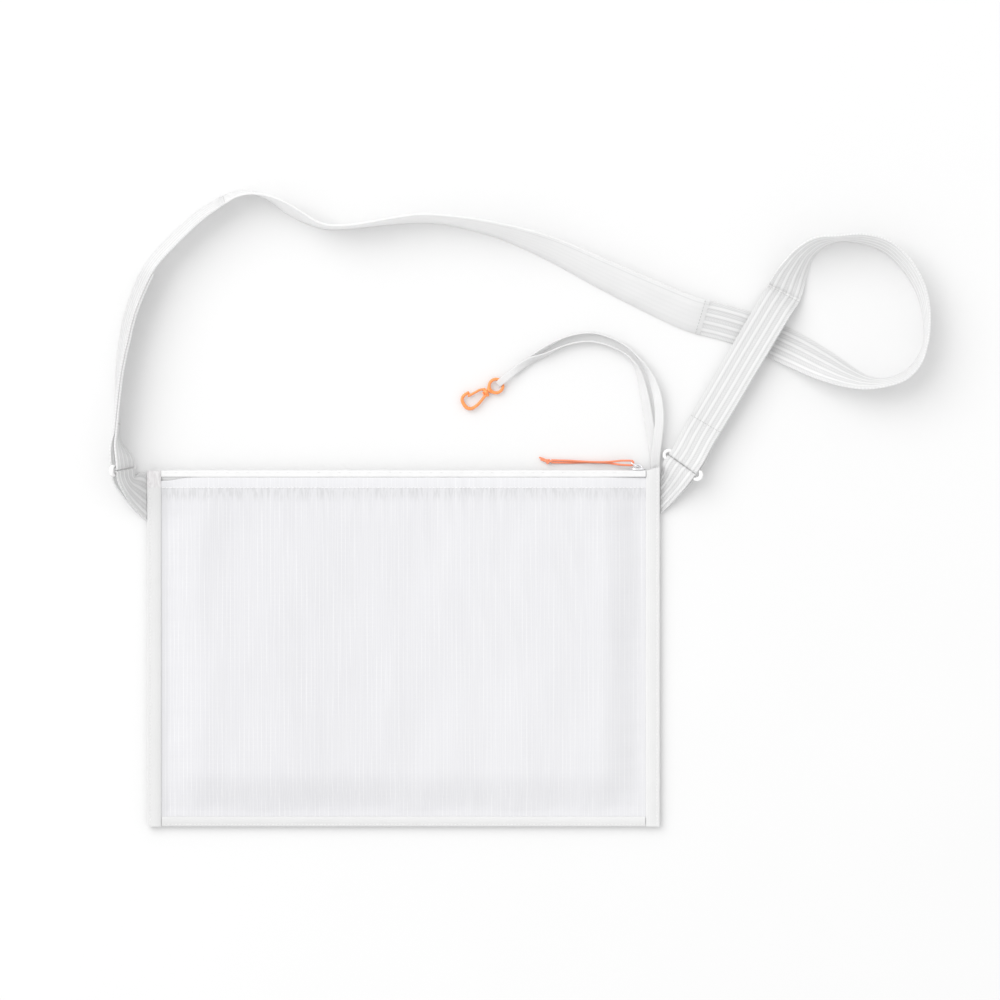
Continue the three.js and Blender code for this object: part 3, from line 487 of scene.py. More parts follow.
@dataclass(frozen=True)
class RowMaker:
    """The node tree that sets a small piece at an even pitch along lines."""

    name: str = "row_along_line"

    def tree(self) -> bpy.types.GeometryNodeTree:
        """Builds the tree once and gives it."""
        made = bpy.data.node_groups.get(self.name)
        if made is not None:
            return made
        made = bpy.data.node_groups.new(self.name, "GeometryNodeTree")
        sockets = {
            "Geometry": "Geometry",
            "Piece": "Object",
            "Pitch": "Float",
            "Sway": "Float",
            "Seed": "Int",
            "Finish": "Material",
        }
        for name, kind in sockets.items():
            made.interface.new_socket(name, in_out="INPUT", socket_type=f"NodeSocket{kind}")
        made.interface.new_socket("Geometry", in_out="OUTPUT", socket_type="NodeSocketGeometry")
        graph = Graph(made)
        given = graph.node("NodeGroupInput").outputs
        line = graph.out("GeometryNodeMeshToCurve", inputs={"Mesh": given["Geometry"]})
        values = {"Curve": line, "Length": given["Pitch"]}
        even = graph.out("GeometryNodeResampleCurve", {"mode": "LENGTH"}, values)
        way = graph.out("GeometryNodeInputTangent")
        settings = {"data_type": "FLOAT_VECTOR"}
        up = graph.out("GeometryNodeInputNamedAttribute", settings, {"Name": "up"})
        align = "FunctionNodeAlignRotationToVector"
        face = graph.out(align, {"axis": "Z"}, {"Vector": up})
        settings = {"axis": "X", "pivot_axis": "Z"}
        turn = graph.out(align, settings, {"Rotation": face, "Vector": way})
        low = graph.math("MULTIPLY", Shade(graph, given["Sway"]), -1.0)
        values = {2: low, 3: given["Sway"], "Seed": given["Seed"]}
        sway = graph.out("FunctionNodeRandomValue", {"data_type": "FLOAT"}, values, 1)
        spin = graph.out("ShaderNodeCombineXYZ", inputs={"Z": sway})
        about = graph.out("FunctionNodeEulerToRotation", inputs={0: spin})
        values = {"Rotation": turn, "Rotate By": about}
        swayed = graph.out("FunctionNodeRotateRotation", {"rotation_space": "LOCAL"}, values)
        piece = graph.out("GeometryNodeObjectInfo", {}, {"Object": given["Piece"]}, "Geometry")
        values = {"Points": even, "Instance": piece, "Rotation": swayed}
        row = graph.out("GeometryNodeInstanceOnPoints", inputs=values)
        real = graph.out("GeometryNodeRealizeInstances", inputs={"Geometry": row})
        values = {"Geometry": real, "Material": given["Finish"]}
        finished = graph.out("GeometryNodeSetMaterial", inputs=values)
        graph.node("NodeGroupOutput", inputs={"Geometry": finished})
        return made

    def row(
        self,
        name: str,
        seam: Seam,
        piece: Skin,
        pitch: float,
        finish: "Finish",
        sway: float = 3.0,
        seed: int = 1,
    ) -> Piece:
        """Sets a piece along a seam's lines.

        Args:
            name: the finished object's name.
            seam: the lines and their ways up.
            piece: the small piece, with x along the line and z up.
            pitch: the distance between pieces in millimetres.
            finish: what the row is made of.
            sway: how far a piece may turn from the line, in degrees.
            seed: the seed of that turn.

        Returns:
            The row as a plain mesh.
        """
        carrier = seam.carrier(name)
        model = piece.piece(f"{name}_one", NO_CREASE)
        nodes = carrier.modifiers.new("row", "NODES")
        nodes.node_group = self.tree()
        values = {
            "Piece": model,
            "Pitch": pitch * MM,
            "Sway": math.radians(sway),
            "Seed": seed,
            "Finish": finish.material(),
        }
        for socket in nodes.node_group.interface.items_tree:
            if socket.in_out == "INPUT" and socket.name in values:
                nodes[socket.identifier] = values[socket.name]
        settle(carrier, CLOTH_CREASE)
        bpy.data.objects.remove(model)
        return carrier


def stitch(length: float, thick: float) -> Skin:
    """Makes one stitch of sewing thread that dips into the cloth at its ends.

    Args:
        length: the stitch's length in millimetres.
        thick: the thread's thickness.

    Returns:
        The closed stitch, lying along x.
    """
    at = np.linspace(-0.5, 0.5, 5)
    line = rows_of(at * length, 0.0, thick * (0.45 - 3.4 * at**2))
    fat = np.array([0.55, 1.0, 1.0, 1.0, 0.55]) * thick / 2
    return tube(line, fat, 6)


# Shader maths


class Shade:
    """A socket's value in a node tree, with arithmetic that adds Math nodes."""

    def __init__(self, graph: "Graph", socket: Socket) -> None:
        """Holds the socket and the graph that it belongs to."""
        self.graph = graph
        self.socket = socket

    def __add__(self, other: Any) -> "Shade":
        """Adds."""
        return self.graph.math("ADD", self, other)

    __radd__ = __add__

    def __sub__(self, other: Any) -> "Shade":
        """Subtracts other from this."""
        return self.graph.math("SUBTRACT", self, other)

    def __rsub__(self, other: Any) -> "Shade":
        """Subtracts this from other."""
        return self.graph.math("SUBTRACT", other, self)

    def __mul__(self, other: Any) -> "Shade":
        """Multiplies."""
        return self.graph.math("MULTIPLY", self, other)

    __rmul__ = __mul__

    def __truediv__(self, other: Any) -> "Shade":
        """Divides this by other."""
        return self.graph.math("DIVIDE", self, other)

    def fraction(self) -> "Shade":
        """Gives what is left past the whole number below."""
        return self.graph.math("FRACT", self)

    def size(self) -> "Shade":
        """Gives the value without its sign."""
        return self.graph.math("ABSOLUTE", self)

    def sine(self) -> "Shade":
        """Gives the sine."""
        return self.graph.math("SINE", self)

    def step(self, low: float, high: float) -> "Shade":
        """Gives a smooth step from 0 at low to 1 at high."""
        settings = {"interpolation_type": "SMOOTHSTEP"}
        values = {"Value": self, "From Min": low, "From Max": high}
        return Shade(self.graph, self.graph.out("ShaderNodeMapRange", settings, values))

    def line(self, pitch: float, wide: float, at: float = 0.0) -> "Shade":
        """Marks lines across this distance.

        Args:
            pitch: the distance between the lines' middles.
            wide: half of a line's width, where it has faded out.
            at: where one line's middle is.

        Returns:
            1 on each line's middle and 0 between the lines.
        """
        off = (((self - at) / pitch + 0.5).fraction() - 0.5).size() * pitch
        return 1 - off.step(wide * LINE_CORE, wide)

    def wave(self, pitch: float) -> "Shade":
        """Gives a sine from 0 to 1 that repeats at a pitch."""
        return (self * (2 * math.pi / pitch)).sine() * 0.5 + 0.5


class Graph:
    """Adds nodes to one tree."""

    def __init__(self, tree: bpy.types.NodeTree) -> None:
        """Holds the tree."""
        self.tree = tree

    def node(
        self, kind: str, settings: Look | None = None, inputs: dict | None = None
    ) -> bpy.types.Node:
        """Adds one node.

        Args:
            kind: the node's type.
            settings: its own settings, which are set first.
            inputs: the values or links of its sockets, by name or number.

        Returns:
            The node.
        """
        made = self.tree.nodes.new(kind)
        for name, value in (settings or {}).items():
            setattr(made, name, value)
        for name, value in (inputs or {}).items():
            self.feed(made.inputs[name], value)
        return made

    def out(
        self, kind: str, settings: Look | None = None, inputs: dict | None = None, which: Any = 0
    ) -> Socket:
        """Adds one node, as node() does, and gives one of its outputs."""
        return self.node(kind, settings, inputs).outputs[which]

    def feed(self, socket: Socket, value: Any) -> None:
        """Links a value to a socket, or sets it there when it is a constant."""
        if isinstance(value, Shade):
            self.tree.links.new(value.socket, socket)
        elif isinstance(value, Socket):
            self.tree.links.new(value, socket)
        else:
            socket.default_value = value

    def math(self, operation: str, first: Any, second: Any = None) -> Shade:
        """Adds one Math node and gives its value."""
        inputs = {0: first} if second is None else {0: first, 1: second}
        return Shade(self, self.out("ShaderNodeMath", {"operation": operation}, inputs))

    def place(self) -> Socket:
        """Gives the place on the object, in metres."""
        return self.out("ShaderNodeTexCoord", which="Object")

    def apart(self, vector: Socket) -> tuple[Shade, Shade, Shade]:
        """Splits a vector into its three numbers."""
        made = self.node("ShaderNodeSeparateXYZ", inputs={0: vector})
        return tuple(Shade(self, socket) for socket in made.outputs)

    def uv(self) -> tuple[Shade, Shade]:
        """Gives the way across and the way along a piece from its UV map, in metres."""
        return self.apart(self.out("ShaderNodeUVMap", {"uv_map": "UVMap"}))[:2]

    def noise(self, size: float, detail: float = 2.0, stretch: tuple = (1, 1, 1)) -> Shade:
        """Adds noise over the object.

        Args:
            size: the size of its blots in metres.
            detail: how many finer layers it has.
            stretch: how much finer it is along each axis.

        Returns:
            The noise, about 0.5.
        """
        scaled = self.out("ShaderNodeMapping", inputs={"Vector": self.place(), "Scale": stretch})
        values = {"Vector": scaled, "Scale": 1 / size, "Detail": detail}
        return Shade(self, self.out("ShaderNodeTexNoise", inputs=values))

    def blend(self, share: Any, first: Any, second: Any) -> Socket:
        """Mixes two colours by a share."""
        values = {0: share, 6: first, 7: second}
        return self.out("ShaderNodeMix", {"data_type": "RGBA"}, values, 2)

    def greys(self, share: Any, albedo: float, low: float, high: float) -> Socket:
        """Mixes two neutral greys, each given as a part of one albedo."""
        return self.blend(share, grey(albedo * low), grey(albedo * high))

    def relief(self, height: Shade, depth: float, strength: float) -> Socket:
        """Turns a height of 0 to 1 into a normal, with its full depth in metres."""
        values = {"Height": height, "Distance": depth, "Strength": strength}
        return self.out("ShaderNodeBump", inputs=values)


def grey(value: float, warm: float = 0.0, blue: float = 0.0) -> tuple:
    """Makes a near-white linear colour, a little warm or a little blue."""
    return (value * (1 + warm), value, value * (1 - warm + blue), 1.0)


# Finishes


@dataclass(frozen=True)
class Finish:
    """A finish of the record's own slots; each kind says how its surface varies."""

    name: str
    slot: str
    thin: float = 0.0

    def surface(self, graph: Graph) -> Look:
        """Gives the values and links of the shader's sockets."""
        raise NotImplementedError

    def material(self) -> bpy.types.Material:
        """Makes the material once and gives it."""
        made = bpy.data.materials.get(self.name)
        if made is not None:
            return made
        made = bpy.data.materials.new(self.name)
        made.use_nodes = True
        made.node_tree.nodes.clear()
        graph = Graph(made.node_tree)
        look = self.surface(graph)
        shader = graph.out("ShaderNodeBsdfPrincipled", inputs=look)
        if self.thin:
            colour = {"Color": look["Base Color"]}
            behind = graph.out("ShaderNodeBsdfTranslucent", inputs=colour)
            both = {0: self.thin, 1: shader, 2: behind}
            shader = graph.out("ShaderNodeMixShader", inputs=both)
        graph.node("ShaderNodeOutputMaterial", inputs={"Surface": shader})
        return made

    def dress(self, piece: Piece, *stands_for: str, body: str = "bag") -> Piece:
        """Gives a piece this finish and its place in the model.

        Args:
            piece: the finished mesh.
            stands_for: the frame's own solids that it replaces.
            body: the body that it moves with.

        Returns:
            The same piece.
        """
        piece.data.materials.clear()
        piece.data.materials.append(self.material())
        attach(piece, body)
        if stands_for:
            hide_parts(*stands_for)
        return piece

    def make(self, form: Skin, name: str, sharp: float, *stands_for: str) -> Piece:
        """Makes a form's object and dresses it, in place of the frame's named solids."""
        return self.dress(form.piece(name, sharp), *stands_for)


@dataclass(frozen=True)
class Ripstop(Finish):
    """Thin white nylon with a grid of heavier threads, the upright ones stronger."""

    albedo: float = 0.72
    grid: float = 0.0031
    thread: float = 0.00045
    reach: float = 0.18
    edge: float = 0.170
    # Width of the strip of painted shade beside the bindings
    binding_shade_width: float = 0.0048
    seam: float = 0.1128
    # How far below the zip seam the painted shade reaches
    seam_shade_reach: float = 0.0125

    def surface(self, graph: Graph) -> Look:
        """Gives the weave, the heavier threads, the lined fold and the gathers under its seam, and
        painted shade in those gathers, in a band under the seam and beside the left binding.
        """
        x, y, _ = graph.apart(graph.place())
        wander = (graph.noise(0.010, 2.0, (1, 0.04, 1)) - 0.5) * (self.grid * 1.3)
        strength = graph.noise(0.0045, 2.0, (1, 0.09, 1)).step(0.36, 0.66)
        upright = (x + wander).line(self.grid, self.thread) * strength
        finer = (x - wander * 1.7).line(self.grid * 0.61, self.thread * 0.8) * (1 - strength)
        level = (y + wander * 0.3).line(self.grid, self.thread) * strength
        fine = x.wave(self.thread) * y.wave(self.thread)
        patches = graph.noise(0.05, 3.0, (1.0, 0.55, 1.0))
        streaks = graph.noise(0.0035, 3.0, (1.0, 0.05, 1.0))
        # 0 at the left and 1 at the right: the tone is darker towards the left, and the painted
        #                                   shade is stronger there
        across = x.step(-self.reach, self.reach)
        lined = y.step(self.seam - 0.0002, self.seam + 0.0004)
        # Painted shade: a narrow strip of cloth beside the bindings is darkened, on the left side
        # only
        binding_shade = x.size().step(self.edge - self.binding_shade_width, self.edge - self.binding_shade_width + 0.0008)
        # Painted shade: a band of cloth under the zip seam is darkened
        near = y.step(self.seam - self.seam_shade_reach, self.seam) * (1 - lined)
        close = y.step(self.seam - self.seam_shade_reach, self.seam - self.seam_shade_reach * 0.1) * (1 - lined)
        # Painted shade in the creases of the gathers under the seam; the same mask also dents the
        # bump
        gathers = graph.noise(0.0014, 3.0, (1.0, 0.12, 1.0)).step(0.44, 0.62) * close
        tone = patches * 0.3 + streaks * 0.35 + across * 0.35
        dark = grey(self.albedo * 0.93, 0.004, 0.036)
        cloth = graph.blend(tone, dark, grey(self.albedo * 1.05, 0.0, 0.024))
        threads = upright * 0.6 + finer * 0.3 + level * 0.12
        threaded = graph.blend(threads, cloth, grey(self.albedo * 1.13, 0.0, 0.014))
        # All the painted shade, mixed into the cloth's colour on the next line
        shade = gathers * (1.05 - across * 0.5) + near * 0.34 + binding_shade * (1 - across) * 0.3
        shaded = graph.blend(shade, threaded, grey(self.albedo * 0.86, 0.0, 0.02))
        backed = graph.blend(lined * 0.35, shaded, grey(self.albedo * 1.14, 0.0, 0.018))
        height = upright * 0.5 + finer * 0.25 + level * 0.15 + fine * 0.15
        return {
            "Base Color": backed,
            "Roughness": 0.72 - threads * 0.12,
            "Normal": graph.relief(height - gathers * 0.6, 0.00010, 0.6),
            "Sheen Weight": 0.15,
            "Sheen Roughness": 0.5,
        }


@dataclass(frozen=True)
class Webbing(Finish):
    """Elastic webbing: bright smooth ribs between matt bands, or nearly plain."""

    weave: Weave = Weave.RIBBED
    albedo: float = 0.86
    rib_pitch: float = 0.0056
    rib_half: float = 0.0015
    slant_pitch: float = 0.0021
    weft_pitch: float = 0.00062
    warp_pitch: float = 0.00084
    half_width: float = 0.0125
    plain_pitch: float = 0.0034
    # How far from the middle a thin darker line runs along the plain band
    dark_line_offset: float = 0.0098

    def surface(self, graph: Graph) -> Look:
        """Gives the ribs, the slanted threads of the bands and the edge's cross threads, with
        painted shade at each rib's foot and some painted light on the ribs.
        """
        across, along = graph.uv()
        rib = across.line(self.rib_pitch, self.rib_half, self.rib_pitch / 2)
        inside = 1 - across.size().step(self.half_width * 0.86, self.half_width * 0.92)
        rib = rib * inside
        weft = along.wave(self.weft_pitch)
        wear = graph.noise(0.02, 3.0)
        if self.weave is Weave.RIBBED:
            # Painted shade: a darker line at the foot of each rib, on both sides
            foot = across.line(self.rib_pitch, self.rib_half * 1.8, self.rib_pitch / 2)
            slant = (along + across.size() * 1.1).wave(self.slant_pitch)
            band = graph.greys(slant * 0.6 + wear * 0.4, self.albedo, 0.86, 1.0)
            rib_foot_shaded = graph.blend((foot * inside - rib) * 0.6, band, grey(self.albedo * 0.74))
            # Ribs lighter than the bands: partly the weave's own look, partly painted light on
            # their raised tops
            colour = graph.blend(rib * 0.85, rib_foot_shaded, grey(self.albedo * 1.06))
            height = rib * 0.5 + slant * 0.35 + weft * 0.15
            depth = 0.00018
        else:
            warp = across.wave(self.warp_pitch)
            uneven = graph.noise(0.004, 2.0, (0.2, 0.2, 1.0))
            faint = across.line(self.plain_pitch, self.rib_half) * uneven
            # A thin darker line along the plain band
            edge = 1 - (across - self.dark_line_offset).size().step(0.0, 0.0007)
            tone = faint * 0.3 + wear * 0.45 + warp * 0.25
            plain = graph.greys(tone, self.albedo, 0.94, 1.05)
            colour = graph.blend(edge * 0.8, plain, grey(self.albedo * 0.86))
            height = faint * 0.15 + weft * 0.5 + warp * 0.35
            depth = 0.00012
        return {
            "Base Color": colour,
            "Roughness": 0.86 - rib * 0.12,
            "Normal": graph.relief(height, depth, 0.7),
            "Sheen Weight": 0.9,
            "Sheen Roughness": 0.55,
        }


@dataclass(frozen=True)
class Ribbon(Finish):
    """Narrow grosgrain: fine ribs across, for bindings, the hem and the lanyard."""

    albedo: float = 0.72
    rib: float = 0.00068
    sheen: float = 0.25
    reach: float = 0.18
    worn_from: float = 0.1125
    worn_side: float = 0.167

    def surface(self, graph: Graph) -> Look:
        """Gives the fine cross ribs, a lengthwise grain, soft patches and one worn end."""
        across, along = graph.uv()
        ribs = along.wave(self.rib)
        grain = across.wave(self.rib * 1.7)
        patches = graph.noise(0.018, 3.0)
        x, y, _ = graph.apart(graph.place())
        side = x.step(-self.reach, self.reach)
        tone = ribs * 0.2 + grain * 0.15 + patches * 0.3 + side * 0.35
        plain = graph.greys(tone, self.albedo, 0.93, 1.07)
        beyond = (0 - x).step(self.worn_side, self.worn_side + 0.001)
        worn = y.step(self.worn_from, self.worn_from + 0.001) * beyond
        frayed = graph.noise(0.0016, 3.0, (1.0, 0.3, 1.0)).step(0.35, 0.7)
        dark = grey(self.albedo * 0.86, 0.035, 0.05)
        end = graph.blend(frayed, dark, grey(self.albedo * 1.1, 0.012, 0.016))
        return {
            "Base Color": graph.blend(worn * 0.8, plain, end),
            "Roughness": 0.8 + patches * 0.12,
            "Normal": graph.relief(ribs * 0.7 + grain * 0.3, 0.00010, 0.7),
            "Sheen Weight": self.sheen,
            "Sheen Roughness": 0.5,
        }


@dataclass(frozen=True)
class ZipTape(Finish):
    """The zip's woven tape, with a fine herringbone."""

    albedo: float = 0.80
    row: float = 0.0016
    twill: float = 0.0009

    def surface(self, graph: Graph) -> Look:
        """Gives herringbone rows along the zip."""
        x, y, _ = graph.apart(graph.place())
        zigzag = ((y / self.row).fraction() - 0.5).size() * (self.row * 1.6)
        twill = (x + zigzag).wave(self.twill)
        rows = y.line(self.row, 0.0002)
        soil = graph.noise(0.015, 3.0)
        return {
            "Base Color": graph.greys(twill * 0.35 + soil * 0.65, self.albedo, 0.92, 1.05),
            "Roughness": 0.78 - rows * 0.1,
            "Normal": graph.relief(twill * 0.6 + rows * 0.4, 0.00009, 0.6),
        }


@dataclass(frozen=True)
class Nylon(Finish):
    """Extruded nylon or sewing thread: slightly glossy white with a fine twist."""

    albedo: float = 0.80
    roughness: float = 0.42
    twist: float = 0.00035

    def surface(self, graph: Graph) -> Look:
        """Gives a fine twist and a little variation from piece to piece."""
        x, y, z = graph.apart(graph.place())
        ply = (x + y + z).wave(self.twist)
        odd = graph.noise(0.004, 2.0)
        dark, light = grey(self.albedo * 0.90, 0.01), grey(self.albedo * 1.05)
        return {
            "Base Color": graph.blend(odd * 0.7 + ply * 0.3, dark, light),
            "Roughness": self.roughness + odd * 0.15,
            "Normal": graph.relief(ply, 0.00004, 0.4),
        }


@dataclass(frozen=True)
class BrightMetal(Finish):
    """Nickel plate with fine scratches and a few dull patches."""

    bright: tuple = (0.90, 0.90, 0.92, 1.0)
    dulled: tuple = (0.70, 0.70, 0.71, 1.0)

    def surface(self, graph: Graph) -> Look:
        """Gives the scratches and the patches where the plate has dulled."""
        scratches = graph.noise(0.0012, 4.0, (1.0, 6.0, 1.0))
        dull = graph.noise(0.004, 2.0).step(0.52, 0.72)
        return {
            "Base Color": graph.blend(dull, self.bright, self.dulled),
            "Metallic": 1.0,
            "Roughness": 0.26 + dull * 0.16 + scratches * 0.06,
            "Normal": graph.relief(scratches, 0.00003, 0.35),
        }


@dataclass(frozen=True)
class RingPlastic(Finish):
    """Glossy white moulded plastic with faint scuffs and a faint mottle."""

    albedo: float = 0.82

    def surface(self, graph: Graph) -> Look:
        """Gives scuffs in the gloss and a hardly visible mottle."""
        scuffs = graph.noise(0.0025, 4.0, (1.0, 3.0, 1.0)).step(0.5, 0.75)
        mottle = graph.noise(0.008, 2.0)
        colour = graph.blend(mottle, grey(self.albedo * 0.95, 0.006), grey(self.albedo * 1.03))
        return {
            "Base Color": colour,
            "Roughness": 0.2 + scuffs * 0.2,
            "Normal": graph.relief(scuffs, 0.00003, 0.3),
            "Coat Weight": 0.3,
            "Coat Roughness": 0.12,
        }


@dataclass(frozen=True)
class HookPlastic(Finish):
    """Orange acetal: satin, a little paler where it is thin and worn."""

    base: tuple = (0.84, 0.245, 0.062, 1.0)
    pale: tuple = (0.90, 0.36, 0.125, 1.0)

    def surface(self, graph: Graph) -> Look:
        """Gives flow marks, worn paler patches and a fine spark texture."""
        flow = graph.noise(0.006, 3.0, (1.0, 1.0, 2.0))
        spark = graph.noise(0.00035, 2.0)
        worn = graph.noise(0.003, 3.0).step(0.5, 0.72)
        colour = graph.blend(flow * 0.5 + worn * 0.4, self.base, self.pale)
        return {
            "Base Color": colour,
            "Roughness": 0.34 + worn * 0.14 + spark * 0.06,
            "Normal": graph.relief(spark, 0.00003, 0.35),
            "Subsurface Weight": 0.08,
            "Subsurface Radius": (0.002, 0.0008, 0.0004),
        }


@dataclass(frozen=True)
class BraidedCord(Finish):
    """Thin braided cord in coral, with painted shade in the valleys between its strands."""

    base: tuple = (0.78, 0.187, 0.095, 1.0)
    light: tuple = (0.94, 0.40, 0.22, 1.0)
    around: float = 0.00055
    lay: float = 0.0009

    def surface(self, graph: Graph) -> Look:
        """Gives two sets of crossing strands, with painted shade in the valleys between them."""
        across, along = graph.uv()
        one = (across / self.around + along / self.lay).wave(1.0)
        two = (across / self.around - along / self.lay).wave(1.0)
        plait = one * two
        fuzz = graph.noise(0.0006, 2.0)
        # Painted shade: the colour falls to the darker base coral in the valleys between the
        # strands
        tone = plait * 0.75 + fuzz * 0.25
        return {
            "Base Color": graph.blend(tone, self.base, self.light),
            "Roughness": 0.82 - plait * 0.1,
            "Normal": graph.relief(plait, 0.00012, 0.8),
            "Sheen Weight": 0.2,
        }


@dataclass(frozen=True)
class PaleFloor(Finish):
    """A plain pale table top, lit a little from below like a light table."""

    albedo: float = 0.61
    glow: float = 0.12

    def surface(self, graph: Graph) -> Look:
        """Gives a smooth matt top with hardly any mottle."""
        mottle = graph.noise(0.12, 2.0)
        return {
            "Base Color": graph.greys(mottle, self.albedo, 0.99, 1.01),
            "Roughness": 0.9 + mottle * 0.05,
            "Specular IOR Level": 0.1,
            "Emission Color": (1.0, 1.0, 1.0, 1.0),
            "Emission Strength": self.glow,
        }


RIPSTOP = Ripstop("ripstop_cloth", "cloth", thin=0.08, albedo=0.64)
RIBBED = Webbing("ribbed_webbing", "webbing", thin=0.44, albedo=0.87)
PLAIN_WEBBING = Webbing("plain_webbing", "webbing", thin=0.46, albedo=0.88, weave=Weave.PLAIN)
BINDING_TAPE = Ribbon("binding_tape", "tape", thin=0.12, albedo=0.68)
LANYARD_RIBBON = Ribbon(
    "lanyard_ribbon", "webbing", thin=0.42, albedo=0.81, rib=0.0008, sheen=0.9
)
ZIP_TAPE = ZipTape("zip_tape_weave", "tape", thin=0.1, albedo=0.76)
ZIP_NYLON = Nylon("zip_teeth_nylon", "zip")
THREAD = Nylon("sewing_thread", "tape", albedo=0.78, roughness=0.6)
# The strap's thread is darker than the pouch's: painted shade of the dents that its stitches press
# into the webbing
STRAP_THREAD_PAINTED_SHADE = Nylon("strap_thread", "webbing", albedo=0.60, roughness=0.65)
METAL = BrightMetal("nickel_plate", "bright_metal")
WHITE_PLASTIC = RingPlastic("white_plastic", "ring_plastic")
ORANGE_PLASTIC = HookPlastic("orange_plastic", "hook_plastic")
CORAL_CORD = BraidedCord("coral_cord", "pull_cord")
FLOOR_TOP = PaleFloor("pale_floor", "floor")
ROWS = RowMaker()


# Flat bands


@dataclass
class Run:
    """A band's line: centres, width vectors, widths, and which vectors hold a slanted cut."""

    centres: Array
    across: Array
    widths: Array
    slanted: Array

    @classmethod
    def even(cls, centres: Array, across: Array, width: float, slanted: bool) -> "Run":
        """Makes a run with one width all along it."""
        count = len(centres)
        return cls(centres, across, np.full(count, width), np.full(count, slanted))

    def __add__(self, other: "Run") -> "Run":
        """Gives this run and then the other as one."""
        return Run(
            np.vstack([self.centres, other.centres]),
            np.vstack([self.across, other.across]),
            np.concatenate([self.widths, other.widths]),
            np.concatenate([self.slanted, other.slanted]),
        )

    def spans(self) -> Array:
        """Gives the full width vector at each place, square to the line unless slanted."""
        ways = headings(self.centres)
        level = self.across - ways * np.sum(self.across * ways, axis=1, keepdims=True)
        square = unit(level) * self.widths[:, None]
        return np.where(self.slanted[:, None], self.across, square)

    def normals(self) -> Array:
        """Gives the way out of the band's upper face at each place."""
        return unit(np.cross(headings(self.centres), self.spans()))

    def at(self, distance: float) -> int:
        """Gives the number of the place nearest to a distance along the run."""
        return int(np.argmin(np.abs(travelled(self.centres) - distance)))


@dataclass(frozen=True)
class Band:
    """A flat band's section: its width and thickness, and its ribs."""

    width: float
    thick: float
    weave: Weave = Weave.PLAIN
    rib_pitch: float = 5.6
    rib_count: int = 4
    rib_top: float = 0.75
    rib_foot: float = 1.15
    rib_rise: float = 0.14
    edge: float = 0.35

    def half(self) -> list[tuple[float, float]]:
        """Gives one face's points from left to right, each its x and its height."""
        flat = self.thick / 2
        reach = self.width / 2
        low = flat - (self.rib_rise if self.weave is Weave.RIBBED else 0.05)
        points = [(-reach, 0.12 * flat), (-reach + self.edge * 0.3, 0.72 * flat)]
        points.append((-reach + self.edge, flat))
        if self.weave is Weave.RIBBED:
            first = -(self.rib_count - 1) / 2 * self.rib_pitch
            points.append((-reach + 2.2 * self.edge, low))
            for k in range(self.rib_count):
                x = first + k * self.rib_pitch
                points += [(x - self.rib_foot, low), (x - self.rib_top, flat)]
                points += [(x + self.rib_top, flat), (x + self.rib_foot, low)]
            points.append((reach - 2.2 * self.edge, low))
        else:
            points += [(-reach * 0.5, low), (0.0, low), (reach * 0.5, low)]
        points.append((reach - self.edge, flat))
        return points + [(reach - self.edge * 0.3, 0.72 * flat), (reach, 0.12 * flat)]

    def section(self) -> Array:
        """Gives the whole section, with x as a share of half the width."""
        upper = self.half()
        lower = [(x, -z) for x, z in upper]
        ring = np.array(lower + upper[::-1])
        ring[:, 0] /= self.width / 2
        return ring

    def sweep(self, run: Run, groove: Array | None = None) -> Skin:
        """Sweeps the section along a run.

        Args:
            run: the line that the band follows.
            groove: how many times deeper the bands between the ribs are at each place.

        Returns:
            The closed skin, with its UV across and along the band in metres.
        """
        ring = self.section()
        spans = run.spans()
        normals = unit(np.cross(headings(run.centres), spans))
        high = np.tile(ring[:, 1], (len(run.centres), 1))
        if groove is not None:
            sunk = np.abs(np.abs(ring[:, 1]) - (self.thick / 2 - self.rib_rise)) < 1e-6
            deeper = (groove[:, None] - 1) * self.rib_rise * np.sign(ring[:, 1])[None]
            high = high - deeper * sunk[None]
        rings = (
            run.centres[:, None]
            + spans[:, None] * ring[None, :, :1] / 2
            + normals[:, None] * high[:, :, None]
        )
        around = np.append(ring[:, 0], ring[0, 0]) * self.width / 2 * MM
        along = np.append(travelled(run.centres), 0.0) * MM
        return skin(rings, around, along)

    def lying(self, tilt: Array) -> Array:
        """Gives how high the middle lies when the tilted band's lower edge is on the floor."""
        upright = self.width / 2 * np.abs(np.sin(tilt))
        return upright + self.thick / 2 * np.abs(np.cos(tilt))


STRAP_BAND = Band(25.0, 1.5, Weave.RIBBED)


def read_route(rows: tuple, band: Band, places: Array, per_row: int) -> Run:
    """Reads a route's table into a smooth run.

    Args:
        rows: the route's rows, whose third and fourth numbers are tilt and lift.
        band: the band that lies along it.
        places: where each row is, seen from above.
        per_row: how many steps each row is cut into.

    Returns:
        The run, lying on the floor.
    """
    shares = np.linspace(0.0, 1.0, (len(rows) - 1) * per_row + 1)
    centres = through(places, shares)
    lean = np.array([[row[2], row[3], 0.0] for row in rows])
    values = through(lean, shares)
    tilt = np.radians(values[:, 0])
    centres[:, 2] = band.lying(tilt) + values[:, 1] * band.thick + GAP / 2
    delta = 1e-4
    ahead = through(places, np.minimum(shares + delta, 1.0))
    back = through(places, np.maximum(shares - delta, 0.0))
    way = unit((ahead - back) * vec(1, 1, 0))
    side = rows_of(-way[:, 1], way[:, 0], 0.0)
    across = side * np.cos(tilt)[:, None] + UP * np.sin(tilt)[:, None]
    return Run.even(centres, across, band.width, False)


@dataclass
class Place:
    """Where a bend starts or ends: its centre, the way through it and its width vector."""

    centre: Array
    way: Array
    across: Array


